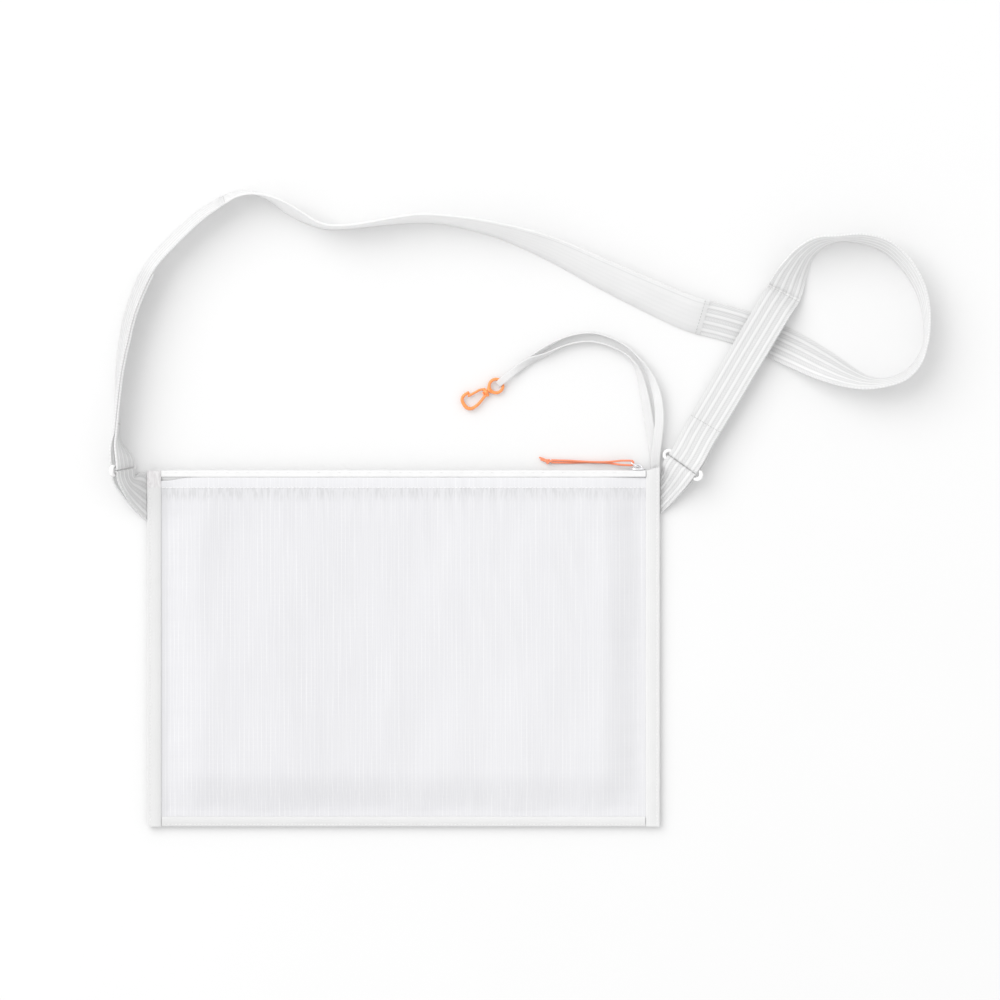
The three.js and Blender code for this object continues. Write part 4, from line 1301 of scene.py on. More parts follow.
def bend(start: Place, end: Place, steps: int, band: Band, slanted: bool) -> Run:
    """Makes a smooth bend between two places, which stops one step short of the second.

    Args:
        start: where it starts.
        end: where it ends.
        steps: how many places it has.
        band: the band that follows it.
        slanted: whether its width vectors hold a slanted cut.

    Returns:
        The bend's run.
    """
    reach = np.linalg.norm(start.centre - end.centre) / 3
    a, d = start.centre, end.centre
    b, c = a + start.way * reach, d - end.way * reach
    t = (np.arange(steps) / steps)[:, None]
    centres = (1 - t) ** 3 * a + 3 * (1 - t) ** 2 * t * b + 3 * (1 - t) * t**2 * c + t**3 * d
    across = mix(start.across, end.across, ease(t))
    return Run.even(centres, across, band.width, slanted)


# Pouch


@dataclass(frozen=True)
class Ripple:
    """One set of wrinkles: how far apart they are across and up, their seed and their run."""

    across: float
    up: float
    seed: float
    run: float = 1.0

    def spread(self, x: Array, y: Array) -> Array:
        """Gives the wrinkles at full strength everywhere."""
        return noise_at(x / self.across, y / self.up, self.seed)

    def fading(self, x: Array, y: Array, away: Array) -> Array:
        """Gives the wrinkles as they die out with the distance away from a seam."""
        return self.spread(x, y) * np.exp(-np.maximum(away, 0) / self.run)


def wrapped(rings: list[Array], places: Array, turned_round: bool = False) -> Skin:
    """Closes a folded tape's skin.

    Args:
        rings: its sections, one after another.
        places: how far along the edge each section is.
        turned_round: whether the sections run the other way round.

    Returns:
        The closed skin, with its UV round and along the tape in metres.
    """
    stack = np.array(rings)
    around = travelled(np.vstack([stack[0], stack[0][:1]])) * MM
    along = np.append(places, places[-1]) * MM
    if turned_round:
        stack, around = stack[:, ::-1], around[::-1]
    return skin(stack, around, along)


@dataclass
class Pouch:
    """The flat pouch: two cloth panels in bound edges, with a puckered front."""

    width: float = 360.0
    height: float = 250.0
    fullness: float = 9.0
    cad_cloth: float = 1.0
    cloth: float = 0.7
    rim_run: float = 32.0
    lift_run: float = 6.0
    corner_rise: float = 3.5
    corner_run: float = 42.0
    binding_width: float = 10.0
    hem_width: float = 7.0
    tape: float = 1.0
    zip_depth: float = 17.0
    fold_back: float = 5.2
    grid: float = 1.7
    seam_up: float = 12.2
    edge_lift: float = 2.6
    sag: float = 0.30
    sag_from: float = 151.0
    sag_run: float = 16.0
    stitch_pitch: float = 2.6
    stitch_in: float = 2.1
    fold_corner: float = 1.25
    gathers: Ripple = Ripple(5.2, 38, 3.1, 17)
    side_puckers: Ripple = Ripple(30, 7.5, 8.3, 15)
    hem_puckers: Ripple = Ripple(7.0, 30, 5.7, 13)
    broad: Ripple = Ripple(34, 62, 1.7)
    folds: tuple = (
        (-0.72, 0.35, 0.10, 0.70, -18, -0.11),
        (-0.45, -0.20, 0.09, 0.85, 12, 0.10),
        (-0.16, 0.45, 0.12, 0.50, 24, -0.10),
        (0.10, -0.35, 0.10, 0.60, -14, -0.08),
        (0.38, 0.25, 0.11, 0.75, 16, 0.10),
        (0.66, -0.10, 0.10, 0.80, -10, -0.10),
    )

    @property
    def half(self) -> float:
        """Half the pouch's width."""
        return self.width / 2

    @property
    def top(self) -> float:
        """The top edge's y."""
        return self.height / 2

    @property
    def cloth_half(self) -> float:
        """Half the width of the cloth inside the bindings."""
        return self.half - self.tape - GAP

    @property
    def cloth_low(self) -> float:
        """The y of the cloth's lower edge, inside the hem."""
        return -self.top + self.tape + GAP

    @property
    def back_rim(self) -> float:
        """The back cloth's underside at a bound edge."""
        return self.tape + GAP

    @property
    def front_rim(self) -> float:
        """The front cloth's top at a bound edge."""
        return self.back_rim + 2 * self.cad_cloth + GAP

    @property
    def bound_top(self) -> float:
        """The binding's top."""
        return self.front_rim + GAP + self.tape

    def corner_lift(self, y: Any) -> Any:
        """Gives how far the rim opens towards the zip corners."""
        return self.corner_rise * ease((y - (self.top - self.corner_run)) / self.corner_run)

    def fold_rise(self, x: Array, y: Array) -> Array:
        """Gives the broad folds of the front cloth.

        Args:
            x: places across the pouch.
            y: places up the pouch.

        Returns:
            The height that the folds add at each place.
        """
        total = np.zeros(np.shape(x))
        for across, up, wide, tall, lean, rise in self.folds:
            dx, dy = x - across * self.half, y - up * self.top
            c, s = math.cos(math.radians(lean)), math.sin(math.radians(lean))
            off = (dx * c + dy * s) / (wide * self.half)
            along = (dy * c - dx * s) / (tall * self.top)
            total = total + rise * self.fullness * np.exp(-(off**2) - along**2)
        return total

    def front_top(self, x: Any, y: Any) -> Any:
        """Gives the top of the front cloth before its small wrinkles."""
        side = ease((self.half - np.abs(x) - self.binding_width) / self.rim_run)
        bottom = ease((y + self.top - self.hem_width) / self.rim_run)
        fold = self.fold_rise(x, y) * ease((self.top - self.zip_depth - y) / self.rim_run)
        rim = self.front_rim + self.corner_lift(y)
        return mix(rim, self.fullness + fold, side * bottom)

    def wrinkles(self, x: Array, y: Array) -> Array:
        """Gives the small puckers along the seams and the cloth's soft creases.

        Args:
            x: places across the pouch.
            y: places up the pouch.

        Returns:
            The height that they add at each place.
        """
        seam = self.top - self.seam_up
        from_side = self.half - np.abs(x) - self.binding_width
        from_hem = y + self.top - self.hem_width
        room = ease(from_side / 9) * ease(from_hem / 8)
        gathers = self.gathers.fading(x, y, seam - y)
        below = np.where(y < seam, 1.0, 0.35)
        sides = self.side_puckers.fading(x, y, from_side)
        hems = self.hem_puckers.fading(x, y, from_hem)
        broad = self.broad.spread(x, y) * ease((seam - y) / 30)
        creases = np.abs(noise_at(x / 21 + y / 90, y / 48, 6.4)) * ease((seam - y) / 20)
        total = gathers * below * 0.75 + sides * 0.5 + hems * 0.6 + broad * 0.95 - creases * 0.6
        pinch = 0.3 * bump_of(y, seam, 1.1)
        roll = 0.2 * ease((y - (self.top - self.fold_back - 0.9)) / 0.9)
        return total * room - pinch * ease(from_side / 6) - roll

    def front_surface(self, x: Array, y: Array) -> Array:
        """Gives the top of the finished front cloth."""
        from_side = self.half - np.abs(x) - self.binding_width
        from_hem = y + self.top - self.hem_width
        snug = 0.8 * GAP * (1 - ease(np.minimum(from_side, from_hem) / 3))
        return self.front_top(x, y) + self.wrinkles(x, y) + snug

    def front_cloth(self) -> Piece:
        """Makes the front panel as one closed sheet of cloth."""
        side, low, high = self.cloth_half, self.cloth_low, self.top - self.fold_back
        x = np.linspace(-side, side, round(2 * side / self.grid))
        y = np.linspace(low, high, round((high - low) / self.grid))
        y = np.union1d(y, [high - 0.25, high - 0.6, high - 1.0])
        gx, gy = np.meshgrid(x, y)
        upper = self.front_surface(gx, gy)
        shell = lattice(x, y, upper - self.cloth, upper)
        start = self.top - self.seam_up
        above = np.maximum(shell.points[:, 1] - start, 0)
        sagging = self.sag * ease((-self.sag_from - shell.points[:, 0]) / self.sag_run)
        shell.points[:, 1] -= above * sagging
        return RIPSTOP.make(shell, "front_cloth", CLOTH_CREASE, "front_panel")

    def back_cloth(self) -> Piece:
        """Makes the back panel, flat on the floor and lifted at its bound edges."""
        x = np.linspace(-self.cloth_half, self.cloth_half, 150)
        y = np.linspace(self.cloth_low, self.top - GAP, 100)
        gx, gy = np.meshgrid(x, y)
        from_side = self.half - np.abs(gx) - self.binding_width - GAP
        from_hem = gy + self.top - self.hem_width - GAP
        inside = ease(np.minimum(from_side, from_hem) / self.lift_run)
        crease = np.maximum(noise_at(gx / 26, gy / 40, 2.2), 0) * 0.25 * inside
        low = mix(self.back_rim, 0.0, inside) + crease
        shell = lattice(x, y, low, low + self.cloth)
        return RIPSTOP.make(shell, "back_cloth", CLOTH_CREASE, "back_panel")

    def fold_section(self, width: float, top: float, puff: float) -> Array:
        """Gives a folded tape's section round a cloth's edge.

        Args:
            width: how far the tape reaches in from the edge.
            top: the height of its upper face.
            puff: how far the upper face swells between its stitches and its free edge.

        Returns:
            Its points, each a depth from the edge and a height.
        """
        corner = self.fold_corner
        turn = np.radians(np.linspace(0, 90, 5))
        low = [(corner * (1 - math.sin(a)), corner * (1 - math.cos(a))) for a in turn]
        high = [(corner * (1 - math.cos(a)), top - corner * (1 - math.sin(a))) for a in turn]
        depths = np.array([1.6, 2.1, 2.6, 3.4, 5.0, 7.0, 8.6, 9.6]) * width / 10
        dip = 0.28 * bump_of(depths, self.stitch_in * width / 10, 0.5)
        swell = puff * np.sin(np.clip((depths - 2.6) / (width - 2.6), 0, 1) * math.pi)
        swell = swell - 0.45 * ease((depths - width + 2.6) / 2.4)
        face = list(zip(depths, top - dip + swell))
        t = self.tape
        free = [(width, top - 0.72), (width, top - t), (t, top - t), (t, t), (width, t)]
        ring = np.array([(width, 0.3), (width - 0.3, 0.0), *low, *high, *face, *free])
        away = (1 - ring[:, 0] / width) ** 2 * (1 - ring[:, 1] / top)
        ring[:, 1] += self.edge_lift * away
        return ring

    def side_binding(self, side: Side) -> Piece:
        """Makes the tape folded over one side edge, opening towards the zip corner.

        Args:
            side: which of the two edges.

        Returns:
            The dressed tape.
        """
        sign = side.value
        y = np.linspace(-self.top, self.top - GAP, 120)
        ripple = noise_at(y / 9, y * 0, 4.0 + sign)
        rings = []
        for level, wave in zip(y, ripple):
            top = self.bound_top + self.corner_lift(level)
            section = self.fold_section(self.binding_width, top, 0.16 + 0.16 * wave)
            over = 3.0 * ease((level - self.top + 4.0) / 4.0) if side is Side.RIGHT else 0.0
            slope = over * (1 - section[:, 0] / self.binding_width)
            edge = self.half + 0.14 * wave * ease((self.top - level) / 20)
            x = sign * (edge - section[:, 0])
            rings.append(rows_of(x, level + slope, section[:, 1]))
        name = f"{side.name.lower()}_binding"
        shell = wrapped(rings, y, side is Side.RIGHT)
        return BINDING_TAPE.make(shell, f"{name}_tape", TAPE_CREASE, name)

    def hem(self) -> Piece:
        """Makes the narrow tape folded over the bottom edge, between the side bindings."""
        reach = self.half - self.binding_width - GAP
        x = np.linspace(reach, -reach, 180)
        ripple = noise_at(x / 8, x * 0, 9.4)
        rings = []
        for place, wave in zip(x, ripple):
            section = self.fold_section(self.hem_width, self.bound_top, 0.18 + 0.2 * wave)
            rings.append(rows_of(place, -self.top + section[:, 0], section[:, 1]))
        shell = wrapped(rings, x)
        return BINDING_TAPE.make(shell, "bottom_hem_tape", TAPE_CREASE, "bottom_hem")

    def seams(self) -> Piece:
        """Sews the zip seam, the two bindings and the hem."""
        seam = Seam()
        reach = self.half - self.binding_width - 1.5
        x = np.arange(-reach, reach, 2.0)
        y = np.full(len(x), self.top - self.seam_up)
        seam.add(rows_of(x, y, self.front_surface(x, y) + 0.02), UP)
        y = np.linspace(-self.top + 2, self.top - 3, 120)
        z = self.bound_top + self.corner_lift(y) - 0.22
        for side in Side:
            seam.add(rows_of(side.value * (self.half - self.stitch_in), y, z), UP)
        x = np.linspace(-reach + 1, reach - 1, 60)
        y = -self.top + self.stitch_in * self.hem_width / 10
        seam.add(rows_of(x, y, self.bound_top - 0.2), UP)
        one = stitch(self.stitch_pitch * 0.74, 0.42)
        made = ROWS.row("pouch_stitches", seam, one, self.stitch_pitch, THREAD, seed=3)
        return THREAD.dress(made)

    def build(self) -> None:
        """Builds and dresses the pouch."""
        front = self.front_cloth()
        back = self.back_cloth()
        tapes = [self.side_binding(side) for side in Side]
        hem = self.hem()
        stitches = self.seams()
        side = (self.width - 2 * (self.tape + GAP)) * MM
        report(front, back, *tapes, hem, stitches)


def report(*pieces: Piece) -> None:
    """Logs each piece with how many triangles it has."""
    for piece in pieces:
        count = sum(len(face.vertices) - 2 for face in piece.data.polygons)
        log.info("%s: %d triangles", piece.name, count)


# Zip


@dataclass
class Zip:
    """The zip along the pouch's top edge, whose face looks along +Y."""

    pouch: Pouch
    tape: float = 1.0
    coil_tall: float = 4.2
    coil_deep: float = 1.8
    middle: float = 5.4
    pitch: float = 1.5
    climb: float = 0.6
    dot_pitch: float = 7.0
    off_corner: float = 15.5
    length: float = 9.6
    tall: float = 8.0
    inner_tall: float = 1.4
    plate: float = 1.1
    post: float = 1.4
    crown_length: float = 7.0
    crown_out: float = 3.0
    crown_wide: float = 2.2
    crown_bar: float = 1.2

    @property
    def reach(self) -> float:
        """How far the zip runs to each side."""
        return self.pouch.half - self.pouch.binding_width - GAP

    @property
    def slider_x(self) -> float:
        """Where the slider's middle is."""
        return self.pouch.half - self.off_corner

    @property
    def crest(self) -> float:
        """The top of the tape that is turned over the coil."""
        return self.middle + self.coil_tall / 2 + GAP + self.tape

    def front_tape(self) -> Piece:
        """Makes the tape under the front cloth's folded edge, turned over the coil."""
        pouch = self.pouch
        start = pouch.top - 0.05
        edge = pouch.top - pouch.fold_back
        behind = edge + GAP + self.climb
        reach = self.reach + GAP * 0.6
        x = np.linspace(-reach, reach, 240)
        y = np.union1d(np.linspace(pouch.top - pouch.zip_depth, start, 34), [edge, behind])
        gx, gy = np.meshgrid(x, y)
        under = pouch.front_top(gx, np.minimum(gy, edge)) - pouch.cad_cloth - GAP
        under = under + 0.4 * ease((gy - edge + 2.5) / 2.5)
        climb = ease((gy - edge - GAP) / (behind - edge - GAP))
        waves = noise_at(gx / 7, gy / 40, 12.5) * 0.16 * climb
        lip = 0.3 * ease((gy - start + 0.5) / 0.5)
        level = mix(under, self.crest, climb) + waves
        shell = lattice(x, y, level - self.tape + 0.1, level - lip)
        return ZIP_TAPE.make(shell, "zip_tape_upper", CLOTH_CREASE, "zip_tape_front")

    def back_tape(self) -> Piece:
        """Makes the tape on the back cloth, inside the pouch."""
        pouch = self.pouch
        reach = self.reach - pouch.lift_run - GAP
        x = np.linspace(-reach, reach, 160)
        y = np.linspace(pouch.top - pouch.zip_depth, pouch.top - self.coil_deep - GAP, 12)
        gx, gy = np.meshgrid(x, y)
        low = pouch.cad_cloth + GAP + 0 * gx
        wave = noise_at(gx / 9, gy / 20, 21.0) * 0.08
        shell = lattice(x, y, low + 0.1 + wave, low + self.tape + wave)
        return ZIP_TAPE.make(shell, "zip_tape_lower", CLOTH_CREASE, "zip_tape_back")

    def tooth(self) -> Skin:
        """Makes one tooth of the coil, with x along the zip and its head down."""
        root, head = self.coil_tall / 2, -0.55
        z = np.array([root, root - 0.12, 0.7, 0.1, -0.25, head])
        wide = np.array([0.2, 0.33, 0.33, 0.46, 0.44, 0.2])
        deep = np.array([0.6, 0.85, 0.85, 0.88, 0.8, 0.5])
        angle = 2 * math.pi * np.arange(8) / 8
        x, y = squared(np.cos(angle), 0.6), squared(np.sin(angle), 0.6)
        rings = [rows_of(w * x, d * y, level)[::-1] for level, w, d in zip(z, wide, deep)]
        return skin(np.array(rings))

    def teeth(self) -> Piece:
        """Sets two rows of teeth that mesh along the middle, half a pitch apart."""
        seam = Seam()
        y = self.pouch.top - self.coil_deep / 2
        end = self.slider_x + self.length / 2 - 2 * self.post - GAP - self.pitch
        for shift, up in ((0.0, UP), (self.pitch / 2, -UP)):
            x = np.linspace(-self.reach + self.pitch / 2 + shift, end + shift, 8)
            seam.add(rows_of(x, y, self.middle), up)
        made = ROWS.row("zip_teeth", seam, self.tooth(), self.pitch, ZIP_NYLON, 0.0)
        return ZIP_NYLON.dress(made, "zip_coil")

    def plate_skin(self, low: Array, high: Array) -> Skin:
        """Makes a plate across the zip with well rounded ends.

        Args:
            low: its lowest corner.
            high: its highest corner.

        Returns:
            The closed plate.
        """
        middle = (low + high) / 2
        half = (high - low) / 2
        angle = 2 * math.pi * np.arange(32) / 32
        x = squared(np.cos(angle), 0.55) * half[0]
        z = squared(np.sin(angle), 0.55) * half[2]
        rings = []
        for share, size in ((-1, 0.9), (-0.7, 1.0), (0.7, 1.0), (1, 0.9)):
            y = middle[1] + share * half[1]
            rings.append(rows_of(middle[0] + size * x, y, middle[2] + size * z))
        return skin(np.array(rings)[:, ::-1])

    def slider(self) -> Piece:
        """Makes the slider: two plates, the post between them and the crown."""
        top = self.pouch.top
        left, right = self.slider_x - self.length / 2, self.slider_x + self.length / 2
        face, back = top + GAP, top - self.coil_deep - GAP
        z = self.middle
        outer = self.plate_skin(
            vec(left, face, z - self.tall / 2), vec(right, face + self.plate, z + self.tall / 2)
        )
        inner = self.plate_skin(
            vec(left, back - self.plate, z - self.inner_tall / 2),
            vec(right, back, z + self.inner_tall / 2),
        )
        post = box(
            vec(right - 2 * self.post, back - self.plate / 2, z - self.post / 2),
            vec(right - self.post, face + self.plate / 2, z + self.post / 2),
        )
        half = self.crown_length / 2 - self.crown_bar / 2
        rise = self.plate + self.crown_out - self.crown_bar / 2
        t = np.linspace(0, math.pi, 17)
        foot = self.plate * 0.4
        out = face + foot + (rise - foot) * np.sin(t) ** 0.7
        arch = rows_of(self.slider_x + half * np.cos(t), out, z)
        flat = self.crown_bar / self.crown_wide
        crown = tube(arch, self.crown_wide / 2, 16, flat=flat, first=vec(1, 0))
        made = fused("zip_slider_body", [outer, inner, post, crown], 0.13)
        return METAL.dress(made, "zip_slider")

    def tacks(self) -> Piece:
        """Sews the short tacks along the tape's turned edge."""
        seam = Seam()
        x = np.linspace(-self.reach + 3, self.slider_x - self.length, 60)
        seam.add(rows_of(x, self.pouch.top - 1.3, self.crest + 0.02), UP)
        tack = stitch(1.5, 0.5)
        made = ROWS.row("zip_tape_tacks", seam, tack, self.dot_pitch, THREAD, sway=12.0, seed=5)
        return THREAD.dress(made)

    def build(self) -> None:
        """Builds and dresses the zip."""
        upper, lower = self.front_tape(), self.back_tape()
        report(upper, lower, self.teeth(), self.slider(), self.tacks())


# Zip pull


@dataclass
class ZipPull:
    """The wire link on the slider's crown and the coral cord knotted on it."""

    zip: Zip
    reach: float = 5.7
    half_tall: float = 1.9
    wire: float = 1.0
    swing: float = 32.0
    cord: float = 1.4
    length: float = 58.5
    knot: float = 4.0
    knot_off: float = 1.2
    tail: float = 5.5
    route: tuple = (
        (0.05, 1.12, 0.00, 0.02),
        (0.13, 1.00, 0.08, 0.16),
        (0.20, 0.62, 0.36, 0.38),
        (0.28, 0.28, 0.54, 0.62),
        (0.38, 0.12, 0.60, 0.84),
        (0.50, 0.12, 0.60, 0.97),
        (0.62, 0.30, 0.57, 1.00),
        (0.74, 0.50, 0.40, 1.00),
        (0.87, 0.56, 0.25, 0.98),
        (0.955, 0.56, 0.10, 0.92),
    )

    @property
    def link_way(self) -> Array:
        """The way of the link out of the crown."""
        return vec(-math.cos(math.radians(self.swing)), math.sin(math.radians(self.swing)))

    @property
    def crown_hole(self) -> Array:
        """Where the link's near bar goes through the crown."""
        face = self.zip.pouch.top + self.zip.plate + GAP * 2 + self.wire / 2
        return vec(self.zip.slider_x, face, self.zip.middle)

    @property
    def link_bar(self) -> Array:
        """The middle of the link's far bar."""
        return self.crown_hole + self.link_way * self.reach

    @property
    def knot_place(self) -> Array:
        """The middle of the knot."""
        bar = self.link_bar
        return vec(bar[0] - self.length, bar[1] + self.knot_off, self.knot / 2 + GAP / 2)

    def link(self) -> Piece:
        """Makes the rounded wire link."""
        centre = (self.crown_hole + self.link_bar) / 2
        half, corner = self.reach / 2, self.wire
        points = []
        for k, (sx, sz) in enumerate(((1, 1), (-1, 1), (-1, -1), (1, -1))):
            middle = centre + self.link_way * sx * (half - corner)
            middle = middle + UP * sz * (self.half_tall - corner)
            for i in range(7):
                angle = math.pi / 2 * (k + i / 6)
                way = self.link_way * math.cos(angle) + UP * math.sin(angle)
                points.append(middle + way * corner)
        out = np.cross(self.link_way, UP)
        ring = tube(np.array(points), self.wire / 2, 16, looped=True, first=out)
        return METAL.make(ring, "pull_link_wire", NO_CREASE, "pull_link")

    def strand_line(self, side: int) -> Array:
        """Gives one strand's line, from the link to the knot for the upper strand.

        Args:
            side: 1 for the upper strand, and -1 for the one that goes on round the link's bar.

        Returns:
            The strand's centreline.
        """
        bar, knot, cord = self.link_bar, self.knot_place, self.cord
        points = np.array([
            vec(
                bar[0] - along * self.length,
                mix(bar[1], knot[1], along) + side * wide * cord,
                mix(bar[2], cord * 1.15, drop) + side * high * cord,
            )
            for along, wide, high, drop in self.route
        ])
        turn = self.wire / 2 + GAP * 1.5 + cord / 2
        if side > 0:
            points[0] = bar + vec(-GAP / 2, turn)
            return through(points, np.linspace(0, 1, 90))
        angle = np.pi * (0.5 - np.arange(7) / 6)
        around = bar + turn * rows_of(np.cos(angle), np.sin(angle), 0.0)
        return through(np.vstack([points[::-1], around[::-1]]), np.linspace(0, 1, 120))

    def strands(self) -> list[Piece]:
        """Makes the cord's two strands.

        Returns:
            The front strand and the back one.
        """
        made = []
        for side, name in ((1, "front"), (-1, "back")):
            line = self.strand_line(side)
            form = tube(line, self.cord / 2, 16)
            strand = CORAL_CORD.make(form, f"pull_strand_{name}", NO_CREASE, f"pull_cord_{name}")
            start = line if side > 0 else line[::-1]
            tuple(start[0] * MM)
            (start * MM).tolist()
            made.append(strand)
        return made

    def knot_piece(self) -> Piece:
        """Makes the overhand knot and the two short tails past it."""
        centre, cord = self.knot_place, self.cord
        t = np.linspace(0, 2 * math.pi, 72, endpoint=False)
        size = (self.knot / 2 - cord * 0.42) / 3
        wrap = rows_of(
            (np.sin(t) + 2 * np.sin(2 * t)) * size,
            (np.cos(t) - 2 * np.cos(2 * t)) * size,
            -np.sin(3 * t) * size * 1.6,
        )
        parts = [tube(centre + wrap, cord * 0.46, 12, looped=True)]
        end = centre + vec(-self.tail, self.tail / 3, -self.knot / 8)
        for off, high, short in ((0.55, 0.15, 0.0), (-0.5, -0.2, 0.9)):
            tip = end + vec(short, off * cord, high)
            line = np.array([centre, mix(centre, tip, 0.5) + vec(0, off * 0.5, 0.1), tip])
            parts.append(rod(through(line, np.linspace(0, 1, 14)), cord * 0.46, 12))
        into = vec(centre[0] + 2.4, centre[1], centre[2])
        parts.append(rod(np.array([centre, into]), cord * 0.62, 12))
        made = fused("pull_knot_cord", parts, 0.12, 2)
        return CORAL_CORD.dress(made, "pull_knot")

    def build(self) -> None:
        """Builds and dresses the zip pull."""
        knot = self.knot_piece()
        report(self.link(), *self.strands(), knot)


# Rings, strap and tabs


@dataclass
class Bar:
    """A ring's bar that a band turns round."""

    centre: Array
    away: Array
    across: Array
    normal: Array
    wire: float


@dataclass
class StrapRing:
    """An oval ring of white plastic between a tab and the strap."""

    name: str
    pouch: Pouch
    out: float
    up: float
    high: float
    heading: float
    tilt: float
    towards: tuple[float, float]
    strap_width: float = 25.0
    wire: float = 2.2
    length: float = 34.0
    spacing: float = 6.2
    end_swell: float = 0.32

    @property
    def long(self) -> Array:
        """The way of the ring's bars."""
        tilt = math.radians(self.tilt)
        return turned(self.heading) * math.cos(tilt) + UP * math.sin(tilt)

    @property
    def away(self) -> Array:
        """The way from the tab's bar to the strap's."""
        towards = vec(*self.towards)
        return unit(towards - self.long * np.dot(towards, self.long))

    @property
    def centre(self) -> Array:
        """The middle of the ring."""
        corner = vec(math.copysign(self.pouch.half, self.out), self.pouch.top)
        return corner + vec(self.out, self.up, self.high) * self.strap_width

    def bar(self, way: int) -> Bar:
        """Gives one of its bars: 1 for the strap's, -1 for the tab's."""
        away, across = self.away * way, self.long * -way
        centre = self.centre + self.away * way * self.spacing / 2
        return Bar(centre, away, across, np.cross(away, across), self.wire)

    def build(self) -> Piece:
        """Builds and dresses the ring."""
        radius = self.spacing / 2
        reach = self.length / 2 - radius - self.wire / 2
        points = []
        for end in (1, -1):
            for angle in np.pi * (np.linspace(0, 1, 15) - 0.5):
                way = self.long * end * math.cos(angle) + self.away * end * math.sin(angle)
                points.append(self.centre + self.long * end * reach + way * radius)
        out = np.cross(self.long, self.away)
        ends = np.sin(np.linspace(0, 1, 15) * math.pi) ** 0.5
        radii = self.wire / 2 * (1 + self.end_swell * np.tile(ends, 2))
        shape = tube(np.array(points), radii, 18, looped=True, first=out)
        made = WHITE_PLASTIC.make(shape, f"{self.name}_loop", NO_CREASE, self.name)
        report(made)
        return made


def looped(middle: Run, bar: Bar, band: Band, ends: tuple[float, float], radius: float) -> Run:
    """Turns a band round a bar: in on top, round it, and out again underneath.

    Args:
        middle: the line between the two layers, from the bar outwards.
        bar: the bar.
        band: the band.
        ends: how far the upper layer is sewn and how far the loop reaches.
        radius: half of the loop's opening at the bar.

    Returns:
        The band's whole run. Past the sewn end, its single layer comes back to the middle
        line in a run as long as the band is wide.
    """
    sewn_end, loop_end = ends
    apart = (band.thick + GAP) / 2
    distance = travelled(middle.centres)
    start = max(radius - bar.wire / 2 - GAP - band.thick / 2, 0.0)
    spread = mix(radius, apart, ease((distance - start) / (loop_end - start)))
    spans, away = middle.spans(), middle.normals()
    gone = ease((distance - sewn_end) / band.width)
    upper = middle.centres + away * spread[:, None]
    lower = middle.centres - away * (spread * (1 - gone))[:, None]
    keep = distance > start + 0.4
    top = keep & (distance <= sewn_end)
    angle = np.linspace(0, math.pi, 17)[:, None]
    pivot = middle.centres[0] + bar.away * start
    turn = pivot + bar.normal * radius * squared(np.cos(angle), 0.3)
    turn = turn - bar.away * radius * squared(np.sin(angle), 0.3)
    turn_spans = np.tile(unit(bar.across) * band.width, (len(turn), 1))
    centres = np.vstack([upper[top][::-1], turn, lower[keep]])
    across = np.vstack([spans[top][::-1], turn_spans, spans[keep]])
    return Run.even(centres, across, band.width, True)


RIGHT_ROUTE = (
    (1.161, 0.138, -20, 1.7), (1.243, 0.264, -18, 2.1), (1.325, 0.393, -16, 2.4),
    (1.399, 0.508, -14, 2.7), (1.450, 0.587, -9, 2.6), (1.486, 0.641, 6, 2.2),
    (1.515, 0.705, 34, 0.8), (1.556, 0.770, 56, 0.1), (1.612, 0.812, 70, 0.0),
    (1.696, 0.831, 84, 0.0), (1.790, 0.829, 78, 0.0), (1.880, 0.802, 74, 0.0),
    (1.950, 0.745, 74, 0.0), (2.005, 0.666, 78, 0.0), (2.030, 0.594, 82, 0.0),
    (2.038, 0.522, 86, 0.0), (2.032, 0.450, 89, 0.0), (2.001, 0.382, 84, 0.0),
    (1.946, 0.335, 80, 0.0), (1.876, 0.314, 78, 0.0), (1.802, 0.314, 68, 0.0),
    (1.728, 0.335, 52, 0.0), (1.638, 0.375, 30, 0.0), (1.536, 0.425, 11, 0.0),
    (1.438, 0.468, 2, 0.0), (1.333, 0.508, -3, 0.0), (1.243, 0.533, -8, 0.0),
    (1.169, 0.549, -13, 0.0),
)
LEFT_ROUTE = (
    (-1.118, 0.127, 90, 0.5), (-1.113, 0.217, 94, 0.3), (-1.106, 0.325, 99, 0.3),
    (-1.097, 0.397, 103, 0.3), (-1.083, 0.468, 106, 0.3), (-1.067, 0.540, 108, 0.3),
    (-1.041, 0.612, 109, 0.3), (-1.008, 0.684, 110, 0.3), (-0.979, 0.731, 110, 0.2),
    (-0.941, 0.779, 110, 0.0), (-0.867, 0.850, 110, 0.0), (-0.791, 0.912, 108, 0.0),
    (-0.709, 0.962, 105, 0.0),
)
MIDDLE_ROUTE = (
    (-0.709, 0.962, 105, 0.0), (-0.655, 0.986, 101, 0.0), (-0.600, 0.993, 96, 0.0),
    (-0.522, 0.975, 86, 0.0), (-0.444, 0.934, 77, 0.0), (-0.385, 0.903, 80, 0.0),
    (-0.334, 0.881, 85, 0.0), (-0.287, 0.871, 87, 0.0), (-0.210, 0.873, 88, 0.0),
    (-0.112, 0.884, 86, 0.0), (-0.014, 0.896, 82, 0.0), (0.064, 0.902, 80, 0.0),
    (0.181, 0.895, 78, 0.0), (0.376, 0.858, 69, 0.0), (0.572, 0.795, 53, 0.0),
    (0.767, 0.709, 40, 0.0), (0.962, 0.625, 28, 0.0), (1.118, 0.563, 16, 0.0),
    (1.169, 0.549, 13, 0.0),
)


